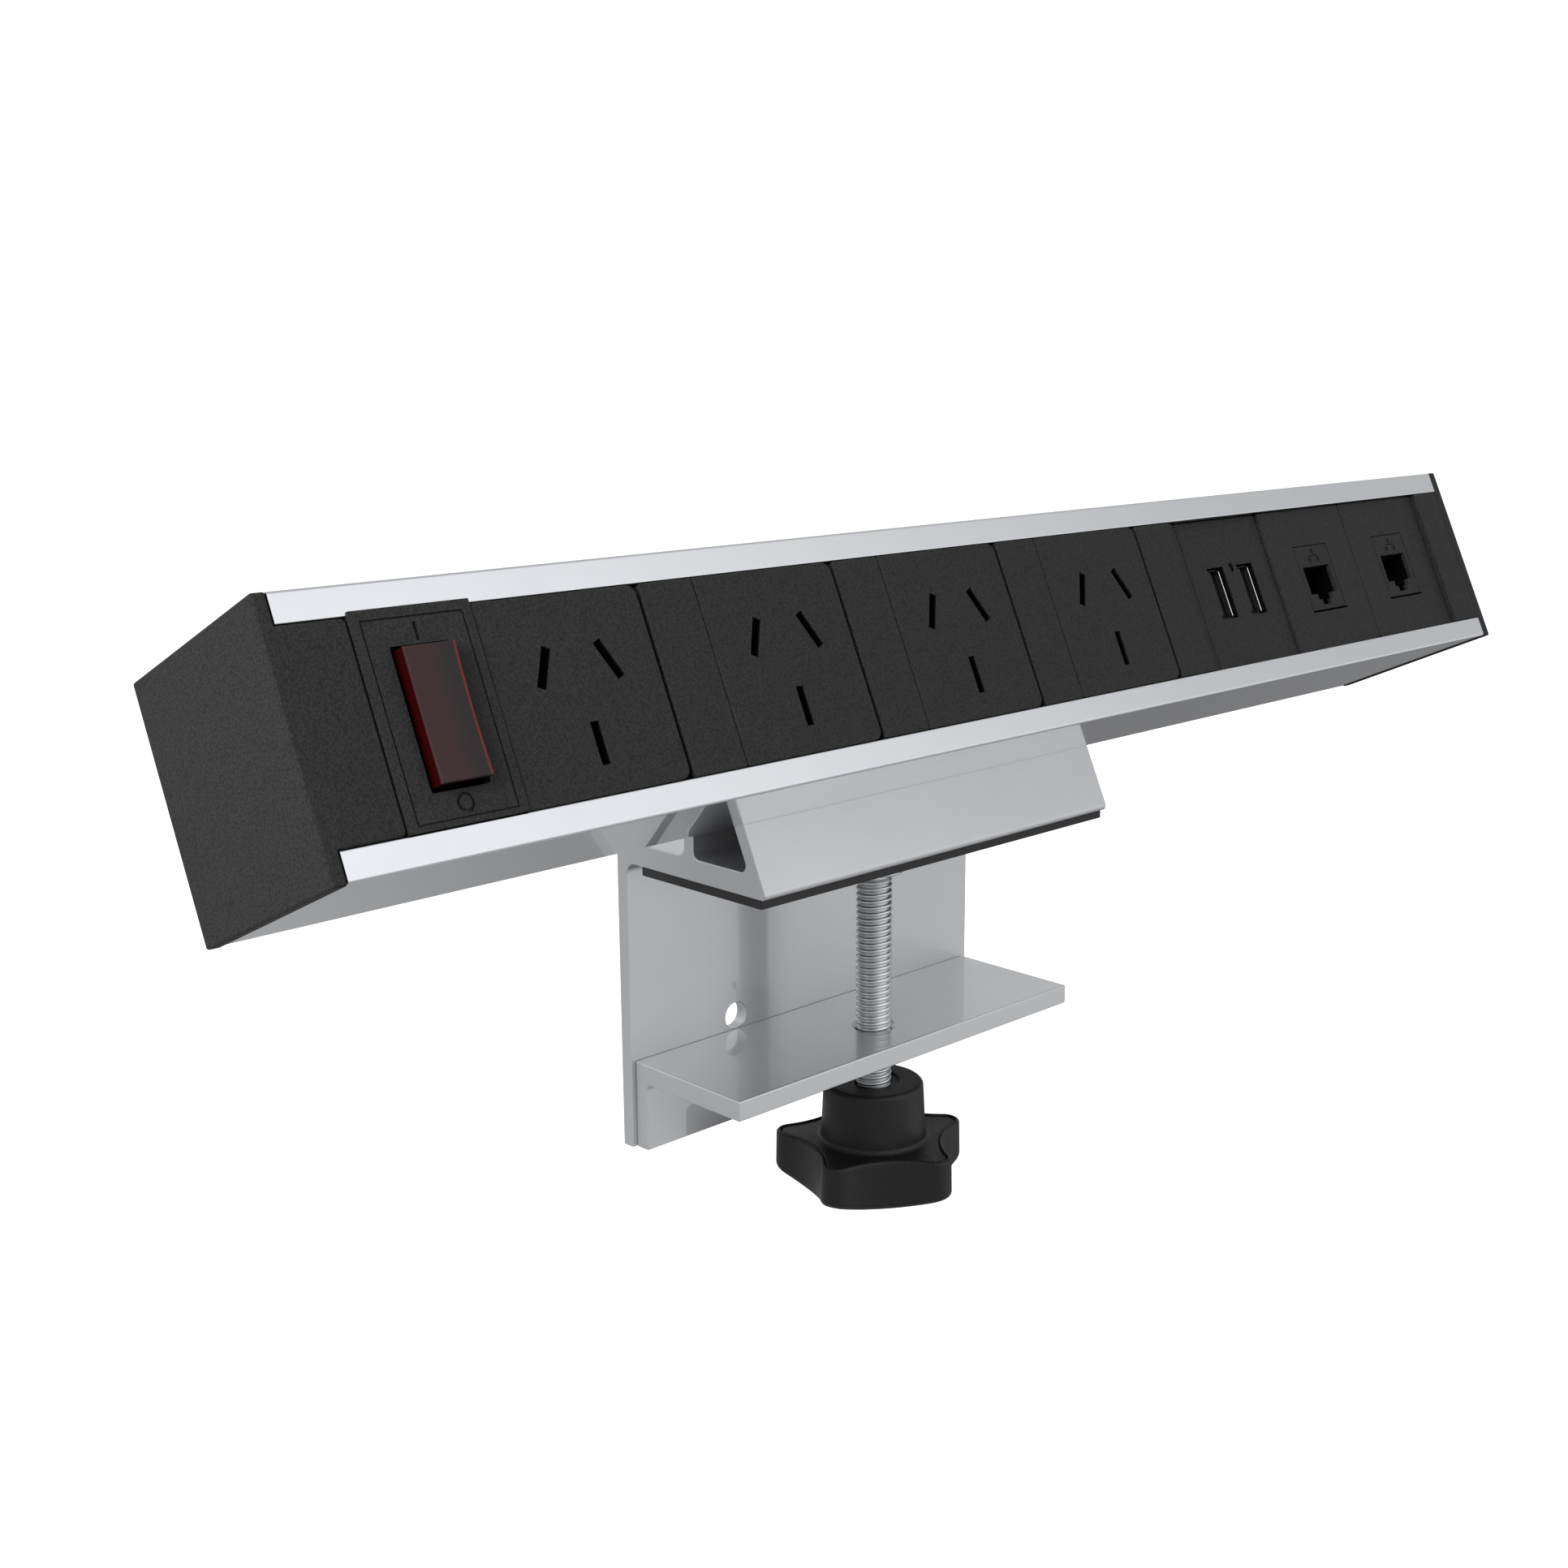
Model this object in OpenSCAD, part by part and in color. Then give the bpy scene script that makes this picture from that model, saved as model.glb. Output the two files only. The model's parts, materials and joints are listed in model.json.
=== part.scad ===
// Desk power strip on a screw clamp.
// The origin is the centre of the rubber pad's underside, where the clamp sits on a desk top.
// X runs along the strip, the sockets face -Y and +Z is up.

/* [Strip] */
// Length over both end caps
strip_l = 355.6; // [345:0.1:370]
// Height of the front face, measured along it
strip_h = 46.6; // [46:0.1:48]
// Depth from the front face to the rear face
strip_d = 45.4; // [45:0.1:48]
// Angle the front face leans back
tilt = 24.5; // [20:0.5:28]
// Wall thickness of the aluminium extrusion
wall = 2; // [1.8:0.1:2.4]
// Height of the lips above and below the modules
lip = 5.4; // [5:0.1:5.8]
// Thickness of the end caps
cap_t = 2.8; // [2.5:0.1:3.5]

/* [Power modules] */
// Distance from one power socket to the next
socket_pitch = 48.1; // [47:0.1:48.5]
// Width of a power socket's face
socket_w = 35.6; // [35:0.1:36]
// Centre of the first power socket
socket_x = -121.9; // [-122.2:0.1:-121.5]
// Distance between the two upper blade slots
blade_gap = 13.8; // [13.6:0.1:14]
// Drop from the upper blade slots to the earth slot
earth_drop = 14.1; // [13.9:0.1:14.3]
// Width of the reset module
reset_w = 23; // [22:0.1:23]

/* [Data modules] */
// Depth of the charger module's face behind the front
recess = 1.9; // [1.5:0.1:2.5]
// Depth of the network modules' faces behind the front
data_recess = 1.2; // [0.8:0.1:1.6]
// Left edge of the charger module
usb_x = 57.4; // [57:0.1:58]
// Width of the charger module
usb_w = 33; // [32.6:0.1:33.2]
// Width of a network module
data_w = 36.5; // [36:0.1:36.6]
// Distance between the two charger ports
port_gap = 12; // [11.5:0.1:13]

/* [Clamp] */
// Width of the clamp bracket
bracket_w = 114.5; // [110:0.5:120]
// Thickness of the bracket's rear plate
plate_t = 3.3; // [3:0.1:3.6]
// Thickness of the plate that rests on the desk
shelf_t = 5.1; // [4.8:0.1:5.4]
// Thickness of the rubber pad
pad_t = 2; // [1.5:0.1:2.5]
// Thickness of the lower jaw
jaw_t = 4.7; // [4:0.1:5]
// Gap between the pad and the lower jaw
jaw_gap = 44.8; // [44:0.1:46]
// Diameter of the clamp screw
screw_d = 8.6; // [8:0.1:9]

/* [Knob] */
// Radius over the knob's lobes
knob_r = 23.8; // [22:0.1:24]
// Number of lobes
lobes = 5; // [5:1:6]

/* [Hidden] */

eps = 0.01;
seam = 0.1;             // half the gap between two neighbouring modules
curve_fn = 48;

// Places in the clamp's own frame: y is depth, z is height over the desk top
shelf_bottom = pad_t;
shelf_top = shelf_bottom + shelf_t;
pad_d = 38.6;
plate_y = 24.2;         // inner face of the rear plate, against the desk's edge
plate_bottom = -65.4;
strip_y = -14.4;        // the strip's lower rear edge
strip_z = 17.1;
wall_t = 3.1;           // thickness of the bracket's sloping wall
wall_top = 38;          // its top edge, measured up the strip's rear face
rib_y = 1.7;
rib_t = 3;
nose_r = 1.2;           // the shelf's front edge
inside_r = 2.7;         // between the shelf and the rear plate
outside_r = 2.2;        // behind the rib
toe_r = 1.6;            // in the hollow
jaw_r = 1.5;            // under the jaw
jaw_top = -jaw_gap;
jaw_front = -10.6;
jaw_w = 112;
leg_t = 3.75;
screw_y = 3;
bolt_x = 25;
bolt_z = -57.4;
spare_z = -41.5;
bolt_r = 3;
hole_r = 3.2;

// The strip's own frame: x along it, y from the rear face (0) forwards (negative), z up its face
opening_z = lip;
opening_h = strip_h - 2 * lip;
front = -strip_d;
mid_z = strip_h / 2;
body_z = 3.2;           // the modules' bodies are taller than the opening, so the lips hold them
body_h = strip_h - 2 * body_z;
body_front = front + wall + 0.15;
flange_t = 2;
plate_front_t = 3;
slot_l = 7.6;
slot_w = 1.9;
slot_lean = 25;
slot_z = strip_h - 18.05;
earth_z = slot_z - earth_drop;
socket_depth = 24;
channel_z = 20;         // centre line of the channel in the rear face
channel_w = 4.6;
channel_in_w = 8.6;
nut_t = 3;
mount_x = 40;

reset_x = socket_x - socket_w / 2 - reset_w / 2;
tongue_end = reset_x - reset_w / 2;
rocker_w = 11;
rocker_l = 23.6;
rocker_rise = 3;
pin_r = 1;
pin_y = front + 5;

usb_mid = usb_x + 17;   // middle of the two ports
data_x1 = usb_x + usb_w + data_w / 2;
data_x2 = data_x1 + data_w;
data_end = data_x2 + data_w / 2;
cap_in = strip_l / 2 - cap_t;
recess_front = front + recess;
data_front = front + data_recess;
chamfer_w = 4.7;
jack_w = 14.6;
jack_h = 16.4;
jack_hole_w = 11.7;
jack_hole_h = 7;
jack_depth = 9;

bus_y = -19.2;          // front face of the three busbars
bus_t = 0.8;
bus_h = 4;
active_z = 36;
neutral_z = 21.5;
earth_bus_z = 7.5;
contact_l = 20;
block_x = -156;
block_w = 28;
bus_start = block_x + 4;
wire_r = 1.5;
gland_y = -13;
gland_z = 10.2;
lead_y = -30;
lead_z = 32;
lead_gap = 9;
mains_bush_r = 5.5;
data_bush_r = 8.5;

foot_top = -2.1;        // the foot when the screw is fully up
foot_pad_t = 0.8;
cup_top = foot_top - foot_pad_t;
cup_h = 3.9;
cup_r = 7;
ball_r = 2;
ball_z = cup_top - 2.4;
neck_r = 1.4;
shaft_top = cup_top - cup_h - 0.6;
hub_top = -58.5;
star_top = -72.4;
star_bottom = -82;
dome_r = 60;
hub_r = 12;
lobe_turn = 54.8;
lobe_tip = 4;           // radius of a lobe's tip
valley_r = 17.2;

// Shared shapes

module on_strip() {
    translate([0, strip_y, strip_z]) rotate([-tilt, 0, 0]) children();
}

// A block between two places along the strip; y0 is its front and z0 its lower edge
module bar(x0, x1, y0, d, z0, h) {
    translate([x0, y0, z0]) cube([x1 - x0, d, h]);
}

// A 2D rectangle with round corners, centred
module round_rect(w, h, r) {
    square([w - 2 * r, h], center = true);
    square([w, h - 2 * r], center = true);
    for (sx = [-1, 1], sy = [-1, 1])
        translate([sx * (w / 2 - r), sy * (h / 2 - r)]) circle(r, $fn = curve_fn);
}

// A 2D drawing of the face, pushed back from the front by depth d
module face_extrude(y0, d) {
    translate([0, y0, 0]) rotate([90, 0, 0]) translate([0, 0, -d]) linear_extrude(d) children();
}

// A 2D drawing in depth and height, carried along x between two places
module along_x(x0, x1) {
    translate([x0, 0, 0]) rotate([90, 0, 90]) linear_extrude(x1 - x0) children();
}

// Points of an arc, for an outline
function arc(centre, r, a0, a1, steps = 10) =
    [for (i = [0 : steps]) centre + r * [cos(a0 + (a1 - a0) * i / steps), sin(a0 + (a1 - a0) * i / steps)]];

// The part of a module behind the lips: a box that is open at the back
module module_body(x0, x1, d) {
    difference() {
        bar(x0 + seam, x1 - seam, body_front, d, body_z, body_h);
        bar(x0 + 1.6, x1 - 1.6, body_front + flange_t, d, body_z + 1.6, body_h - 3.2);
    }
}

// Strip

module strip_extrusion() {
    color([0.82, 0.83, 0.86]) on_strip() difference() {
        along_x(-cap_in, cap_in) difference() {
            union() {
                difference() {
                    translate([-strip_d / 2, mid_z]) round_rect(strip_d, strip_h, 0.6);
                    translate([front + wall, wall]) square([strip_d - 2 * wall, strip_h - 2 * wall]);
                }
                translate([-7.4, channel_z - 6.4]) square([7, 12.8]);
            }
            translate([front - 1, opening_z]) square([wall + 2, opening_h]);
            translate([-5.6, channel_z - channel_in_w / 2]) square([3.8, channel_in_w]);
            translate([-3, channel_z - channel_w / 2]) square([4, channel_w]);
        }
    }
}

// The plate and the plug that pushes into the extrusion, for the left end
module cap_blank() {
    along_x(-strip_l / 2, -cap_in) translate([-strip_d / 2, mid_z]) round_rect(strip_d, strip_h, 0.5);
    for (z = [wall + 0.1, strip_h - wall - 1.6])
        bar(-cap_in - eps, -cap_in + 3.5, front + 9, strip_d - 18, z, 1.5);
}

module end_cap_left() {
    color([0.16, 0.16, 0.165]) on_strip() {
        cap_blank();
        bar(-cap_in - eps, tongue_end - seam, front, plate_front_t, opening_z + seam, opening_h - 2 * seam);
        bar(-cap_in + 3, tongue_end - seam, body_front, flange_t, body_z, body_h);
    }
}

module end_cap_right() {
    color([0.16, 0.16, 0.165]) on_strip() difference() {
        mirror([1, 0, 0]) cap_blank();
        translate([cap_in - 5, gland_y, gland_z]) rotate([0, 90, 0])
            cylinder(r = mains_bush_r, h = 20, $fn = curve_fn);
        translate([cap_in - 5, lead_y, lead_z]) rotate([0, 90, 0])
            cylinder(r = data_bush_r, h = 20, $fn = curve_fn);
    }
}

// A flanged bush in the right end cap, with one or more bores
module gland(r, y, z) {
    translate([cap_in - 1.5, y, z]) rotate([0, 90, 0]) {
        cylinder(r = r, h = cap_t + 3.3, $fn = curve_fn);
        translate([0, 0, cap_t + 1.5]) cylinder(r = r + 1.6, h = 1.8, $fn = curve_fn);
        translate([0, 0, -1.2]) cylinder(r = r + 0.8, h = 1.2, $fn = curve_fn);
    }
}

module mains_gland() {
    color([0.1, 0.1, 0.1]) on_strip() difference() {
        gland(mains_bush_r, gland_y, gland_z);
        translate([cap_in - 10, gland_y, gland_z]) rotate([0, 90, 0])
            cylinder(r = 3.7, h = 30, $fn = curve_fn);
    }
}

module data_gland() {
    color([0.1, 0.1, 0.1]) on_strip() difference() {
        gland(data_bush_r, lead_y, lead_z);
        for (s = [-1, 1])
            translate([cap_in - 10, lead_y + s * lead_gap / 2, lead_z])
                rotate([0, 90, 0]) cylinder(r = 3.1, h = 30, $fn = curve_fn);
    }
}

// Reset switch

module frame_line(w, h, t) {
    difference() {
        square([w, h], center = true);
        square([w - 2 * t, h - 2 * t], center = true);
    }
}

module reset_module() {
    proud = 0.4;
    color([0.17, 0.17, 0.175]) on_strip() difference() {
        union() {
            bar(tongue_end + seam, reset_x + reset_w / 2 - seam, front, plate_front_t,
                opening_z + seam, opening_h - 2 * seam);
            bar(tongue_end + seam, reset_x + reset_w / 2 - seam, front - proud, proud,
                opening_z + seam, opening_h - seam + 0.7);
            module_body(tongue_end, reset_x + reset_w / 2, 12);
            for (s = [-1, 1]) translate([reset_x + s * 8.3 - 1.3, body_front, mid_z - 4]) cube([2.6, 8, 8]);
        }
        bar(reset_x - rocker_w / 2 - 0.3, reset_x + rocker_w / 2 + 0.3, front - 2, 9,
            mid_z - rocker_l / 2 - 0.3, rocker_l + 0.6);
        translate([reset_x - 20, pin_y, mid_z]) rotate([0, 90, 0])
            cylinder(r = pin_r, h = 40, $fn = curve_fn);
        translate([reset_x, 0, mid_z]) face_extrude(front - 1, 1 + 0.3 - proud) frame_line(19.4, 33.7, 0.3);
        // on mark, a bar, and off mark, a ring
        translate([reset_x, 0, mid_z + 14.2]) face_extrude(front - 1, 1) square([0.7, 3], center = true);
        translate([reset_x, 0, mid_z - 14.4]) face_extrude(front - 1, 1) difference() {
            circle(1.7, $fn = curve_fn);
            circle(1.1, $fn = curve_fn);
        }
    }
}

module reset_rocker() {
    face_l = rocker_l - 1;
    dish = 0.4;
    color([0.35, 0.06, 0.06]) on_strip() difference() {
        union() {
            translate([0, 0, mid_z])
        along_x(reset_x - rocker_w / 2 + 0.3, reset_x + rocker_w / 2 - 0.3) polygon([
                [front - rocker_rise, -face_l / 2], [front - rocker_rise + dish, 0],
                [front - rocker_rise, face_l / 2], [front + 1, rocker_l / 2 - 0.6],
                [front + 1.4, rocker_l / 2 - 0.9], [front + 3, 4], [front + 3, -4],
                [front + 1.4, -rocker_l / 2 + 0.9], [front + 1, -rocker_l / 2 + 0.6]
            ]);
            translate([reset_x - 3.4, pin_y, mid_z]) rotate([0, 90, 0])
                cylinder(r = 3, h = 6.8, $fn = curve_fn);
        }
        translate([reset_x - 8, pin_y, mid_z]) rotate([0, 90, 0])
            cylinder(r = pin_r + 0.05, h = 16, $fn = curve_fn);
    }
}

module rocker_pin() {
    color([0.7, 0.7, 0.72]) on_strip()
        translate([reset_x - 9.2, pin_y, mid_z]) rotate([0, 90, 0])
            cylinder(r = pin_r, h = 18.4, $fn = curve_fn);
}

module breaker_body() {
    color([0.3, 0.3, 0.32]) on_strip() {
        bar(reset_x - 9.6, reset_x + 9.6, body_front + 12.4, 10, 7, strip_h - 14);
        for (s = [-1, 0, 1])
            bar(reset_x + 6 * s - 1.2, reset_x + 6 * s + 1.2, body_front + 22,
                bus_y - body_front - 22, 26, 5);
    }
}

module terminal_block() {
    color([0.75, 0.72, 0.6]) on_strip()
        bar(block_x - block_w / 2, block_x + block_w / 2, bus_y + bus_t, 9, 3.2, strip_h - 6.4);
}

module terminal_screws() {
    color([0.8, 0.8, 0.82]) on_strip() for (z = [active_z, neutral_z, earth_bus_z])
        translate([block_x + 7, bus_y, z]) rotate([90, 0, 0]) difference() {
            cylinder(r = 1.9, h = 1.4, $fn = curve_fn);
            translate([-2.5, -0.3, 0.8]) cube([5, 0.6, 1]);
        }
}

// Power sockets

module blade_slot(l, w) {
    square([w, l], center = true);
}

// Children are drawn once for each blade, at its slot's centre and lean
module at_blades() {
    translate([-blade_gap / 2, slot_z]) rotate(-slot_lean) children();
    translate([blade_gap / 2, slot_z]) rotate(slot_lean) children();
    translate([0, earth_z]) children();
}

module socket(n) {
    x = socket_x + n * socket_pitch;
    groove = 0.8;
    corner = 2;
    w = socket_w - seam - groove;
    h = opening_h - 2 * seam;
    color([0.17, 0.17, 0.175]) on_strip() difference() {
        union() {
            translate([x - socket_w / 2 + seam, 0, opening_z + seam]) face_extrude(front, plate_front_t) {
                square([w - corner, h]);
                square([w, h - 2 * corner]);
                translate([0, corner]) square([w, h - 2 * corner]);
                translate([w - corner, corner]) circle(corner, $fn = curve_fn);
                translate([w - corner, h - corner]) circle(corner, $fn = curve_fn);
            }
            difference() {
                bar(x - socket_w / 2 + seam, x + socket_w / 2 - seam, body_front, socket_depth,
                    body_z, body_h);
                translate([x, 0, 0]) face_extrude(body_front + 3, socket_depth)
                    at_blades() blade_slot(10, 5.6);
            }
        }
        translate([x, 0, 0]) face_extrude(front - 1, 10) at_blades() blade_slot(slot_l, slot_w);
    }
}

// Two springy leaves that grip a blade, open to the front
module blade_clip() {
    for (s = [-1, 1]) translate([s * 1.15, 0]) square([0.5, 6], center = true);
}

module busbar_clips(pick) {
    for (n = [0 : 3]) translate([socket_x + n * socket_pitch, 0, 0]) {
        face_extrude(bus_y - contact_l, contact_l + eps) clip_place(pick) blade_clip();
        face_extrude(bus_y, bus_t) clip_place(pick) square([3.2, 6], center = true);
    }
}

module clip_place(pick) {
    if (pick == 0) translate([-blade_gap / 2, slot_z]) rotate(-slot_lean) children();
    if (pick == 1) translate([blade_gap / 2, slot_z]) rotate(slot_lean) children();
    if (pick == 2) translate([0, earth_z]) children();
}

module busbar(pick, z) {
    x_end = socket_x + 3 * socket_pitch + 12;
    from_z = pick == 2 ? earth_z : slot_z;
    blade_x = pick == 2 ? 0 : (pick == 0 ? -1 : 1) * blade_gap / 2;
    color([0.72, 0.5, 0.3]) on_strip() {
        bar(bus_start, x_end, bus_y, bus_t, z - bus_h / 2, bus_h);
        busbar_clips(pick);
        for (n = [0 : 3]) {
            x = socket_x + n * socket_pitch + blade_x;
            bar(x - 1.6, x + 1.6, bus_y, bus_t, min(z, from_z), abs(z - from_z));
        }
    }
}

module active_busbar() { busbar(0, active_z); }
module neutral_busbar() { busbar(1, neutral_z); }
module earth_busbar() { busbar(2, earth_bus_z); }

// Fillers

module filler(n) {
    x0 = socket_x + n * socket_pitch + socket_w / 2;
    x1 = x0 + socket_pitch - socket_w;
    color([0.17, 0.17, 0.175]) on_strip() {
        bar(x0 + seam, x1 - seam, front, plate_front_t, opening_z + seam, opening_h - 2 * seam);
        module_body(x0, x1, 10);
    }
}

// The filler beside the recess, with a long chamfer down to it
module filler_4() {
    x0 = socket_x + 3 * socket_pitch + socket_w / 2;
    color([0.17, 0.17, 0.175]) on_strip() {
        translate([0, 0, opening_z + seam]) linear_extrude(opening_h - 2 * seam) polygon([
            [x0 + seam, front], [usb_x - chamfer_w, front], [usb_x - seam, recess_front],
            [usb_x - seam, front + plate_front_t + recess], [x0 + seam, front + plate_front_t + recess]
        ]);
        bar(x0 + seam, usb_x - seam, recess_front + 0.6, 2.4, body_z, body_h);
    }
}

module end_filler() {
    color([0.17, 0.17, 0.175]) on_strip() {
        bar(data_end + seam, cap_in - seam, front, plate_front_t, opening_z + seam, opening_h - 2 * seam);
        bar(data_end + seam, cap_in - 3.8, body_front, flange_t, body_z, body_h);
    }
}

// Charger and network modules

module recessed_panel(x0, x1, deep) {
    bar(x0 + seam, x1 - seam, front + deep, plate_front_t, opening_z + seam, opening_h - 2 * seam);
    bar(x0 + seam, x1 - seam, body_front + deep, flange_t, body_z, body_h);
}

module at_ports() {
    for (s = [-1, 1]) translate([usb_mid + s * port_gap / 2, 0, mid_z]) children();
}

module usb_module() {
    color([0.17, 0.17, 0.175]) on_strip() difference() {
        union() {
            recessed_panel(usb_x, usb_x + usb_w, recess);
            difference() {
                bar(usb_x + 4, usb_x + usb_w - 4, body_front + recess, 20, 7, strip_h - 14);
                bar(usb_x + 5.5, usb_x + usb_w - 5.5, body_front + recess + 2, 20, 8.5, strip_h - 17);
            }
        }
        at_ports() {
            face_extrude(front - 1, 12) square([5.8, 12.5], center = true);
            for (s = [-1, 1]) translate([-2.6, 0, s * 5.75])
                face_extrude(front - 1, recess + 2.2) square([2.4, 1], center = true);
        }
        translate([usb_mid, 0, strip_h - 17.6]) face_extrude(front - 1, 20) circle(1.1, $fn = curve_fn);
    }
}

module usb_shells() {
    color([0.85, 0.85, 0.88]) on_strip() at_ports() face_extrude(recess_front + 1.2, 14) difference() {
        square([5.1, 12.1], center = true);
        square([4.4, 11.4], center = true);
    }
}

module usb_tongues() {
    color([0.05, 0.05, 0.05]) on_strip() at_ports() {
        translate([1.1, 0, 0]) face_extrude(recess_front + 2.8, 11.4) square([1.8, 10.6], center = true);
        face_extrude(recess_front + 14.2 - eps, 1) square([4.4, 11.4], center = true);
    }
}

module usb_board() {
    color([0.1, 0.35, 0.2]) on_strip() {
        bar(usb_x + 6, usb_x + usb_w - 6, recess_front + 15.3, 1.6, 9, strip_h - 18);
        bar(usb_mid - 6, usb_mid + 6, recess_front + 16.8, 6, 24, 11);
        bar(usb_mid - 9, usb_mid - 4, recess_front + 16.8, 4, 11, 8);
        translate([usb_mid + 5, recess_front + 16.8, 15]) rotate([-90, 0, 0])
            cylinder(r = 3.4, h = 6.5, $fn = curve_fn);
    }
}

module usb_light_pipe() {
    color([0.85, 0.9, 0.95]) on_strip() translate([usb_mid, recess_front + 0.6, strip_h - 17.6])
        rotate([-90, 0, 0]) cylinder(r = 1.05, h = 14.7, $fn = curve_fn);
}

// The stepped outline that a network plug and its latch go into
module jack_outline() {
    top = mid_z + 2.9;
    translate([-jack_hole_w / 2, top - jack_hole_h]) square([jack_hole_w, jack_hole_h]);
    translate([-3.2, top - jack_hole_h - 1.5]) square([6.4, 2]);
    translate([-1.9, top - jack_hole_h - 2.9]) square([3.8, 3]);
}

module data_module(x) {
    color([0.17, 0.17, 0.175]) on_strip() difference() {
        recessed_panel(x - data_w / 2, x + data_w / 2, data_recess);
        translate([x, 0, mid_z]) face_extrude(front - 1, 15)
            square([jack_w + 0.3, jack_h + 0.3], center = true);
        translate([x + 0.3, 0, mid_z - jack_h / 2 - 0.2]) face_extrude(front - 1, 1 + data_recess + 0.8)
            square([jack_w + 0.9, 0.5], center = true);
    }
}

module data_jack(x) {
    color([0.18, 0.18, 0.185]) on_strip() translate([x, 0, 0]) difference() {
        union() {
            translate([0, 0, mid_z]) face_extrude(data_front, 26) square([jack_w, jack_h], center = true);
            translate([0, 0, mid_z + jack_h / 2]) face_extrude(data_front + 4.2, 3)
                square([9, 3], center = true);
        }
        face_extrude(data_front - 1, jack_depth + 1) jack_outline();
        // network mark above the opening: one box joined to two more
        translate([0, 0, mid_z + jack_h / 2 - 2.6]) face_extrude(data_front - 1, 1.25) {
            translate([0, 1]) square([1.6, 1.1], center = true);
            square([0.3, 1], center = true);
            square([3.9, 0.3], center = true);
            for (s = [-1, 1]) translate([s * 1.8, -0.5]) square([0.3, 0.8], center = true);
            for (s = [-1, 1]) translate([s * 1.8, -1.1]) square([1.6, 1.1], center = true);
        }
    }
}

// Eight spring wires along the top of the jack's opening
module jack_contacts(x) {
    top = mid_z + 2.9;
    color([0.85, 0.7, 0.3]) on_strip() for (i = [0 : 7]) translate([x + (i - 3.5) * 1.02, 0, 0])
        rotate([90, 0, 90]) translate([0, 0, -0.2]) linear_extrude(0.4) polygon([
            [data_front + 2.4, top], [data_front + 2.8, top], [data_front + jack_depth, top - 1.4],
            [data_front + jack_depth, top - 1.8]
        ]);
}

// Wiring

module wire(dy, dz, x_end) {
    x0 = block_x + block_w / 2;
    translate([x0, gland_y + dy, gland_z + dz]) rotate([0, 90, 0])
        cylinder(r = wire_r, h = x_end - x0, $fn = 24);
}

module wire_active() { color("brown") on_strip() wire(-1.8, -1, cap_in - 3); }
module wire_neutral() { color("royalblue") on_strip() wire(1.8, -1, cap_in - 3); }
module wire_earth() { color("green") on_strip() wire(0, 2.1, cap_in - 3); }

// Clamp

// The bracket's end view: shelf, rear plate, sloping wall and rib, with one hollow between the last two
module bracket_section() {
    slope = tan(tilt);
    lean = [sin(tilt), cos(tilt)];
    back = [cos(tilt), -sin(tilt)];
    nose_y = strip_y - (strip_z - shelf_bottom) * slope;
    nose_reach = nose_r / tan(45 - tilt / 2);
    head = [strip_y, strip_z] + wall_top * lean;
    head_back = head + wall_t * back;
    rib_back = rib_y + rib_t;
    inner_y = nose_y + wall_t / cos(tilt) + shelf_t * slope;
    toe_reach = toe_r / tan(45 - tilt / 2);
    peak = (rib_y - inner_y) / slope + shelf_top;
    difference() {
        polygon(concat(
            [head],
            arc([nose_y + nose_reach, shelf_bottom + nose_r], nose_r, 180 - tilt, 270),
            arc([plate_y - inside_r, shelf_bottom - inside_r], inside_r, 90, 0),
            [[plate_y, plate_bottom], [plate_y + plate_t, plate_bottom], [plate_y + plate_t, shelf_top]],
            arc([rib_back + outside_r, shelf_top + outside_r], outside_r, 270, 180),
            [[rib_back, head_back[1]], head_back]
        ));
        polygon(concat(
            [[rib_y, peak]],
            arc([inner_y + toe_reach, shelf_top + toe_r], toe_r, 180 - tilt, 270),
            arc([rib_y - toe_r, shelf_top + toe_r], toe_r, 270, 360)
        ));
    }
}

module clamp_bracket() {
    color([0.75, 0.76, 0.79]) difference() {
        along_x(-bracket_w / 2, bracket_w / 2) bracket_section();
        on_strip() for (s = [-1, 1]) translate([s * mount_x, 0, channel_z]) rotate([-90, 0, 0]) {
            translate([0, 0, -1]) cylinder(r = 2.2, h = wall_t + 2, $fn = curve_fn);
            translate([0, 0, wall_t + eps]) cylinder(r = 4.5, h = 30, $fn = curve_fn);
        }
        for (s = [-1, 1], z = [bolt_z, spare_z]) translate([s * bolt_x, plate_y - 1, z])
            rotate([-90, 0, 0]) cylinder(r = hole_r, h = plate_t + 2, $fn = curve_fn);
    }
}

module channel_nuts() {
    color([0.7, 0.7, 0.72]) on_strip() for (s = [-1, 1]) translate([s * mount_x, 0, channel_z]) difference() {
        translate([-4, -4.8, -4]) cube([8, nut_t, 8]);
        translate([0, -6, 0]) rotate([-90, 0, 0]) cylinder(r = 2, h = 6, $fn = curve_fn);
    }
}

module mounting_screws() {
    color([0.7, 0.7, 0.72]) on_strip() for (s = [-1, 1])
        translate([s * mount_x, 0, channel_z]) rotate([-90, 0, 0]) difference() {
            union() {
                translate([0, 0, -5.4]) cylinder(r = 2, h = wall_t + 5.4 + eps, $fn = curve_fn);
                translate([0, 0, wall_t]) cylinder(r = 3.8, h = 2.6, $fn = curve_fn);
            }
            translate([0, 0, wall_t + 1]) cylinder(r = 1.5, h = 2, $fn = 6);
        }
}

module desk_pad() {
    color([0.13, 0.13, 0.13])
        translate([-57, -pad_d / 2, 0]) cube([114, pad_d, pad_t]);
}

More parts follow.
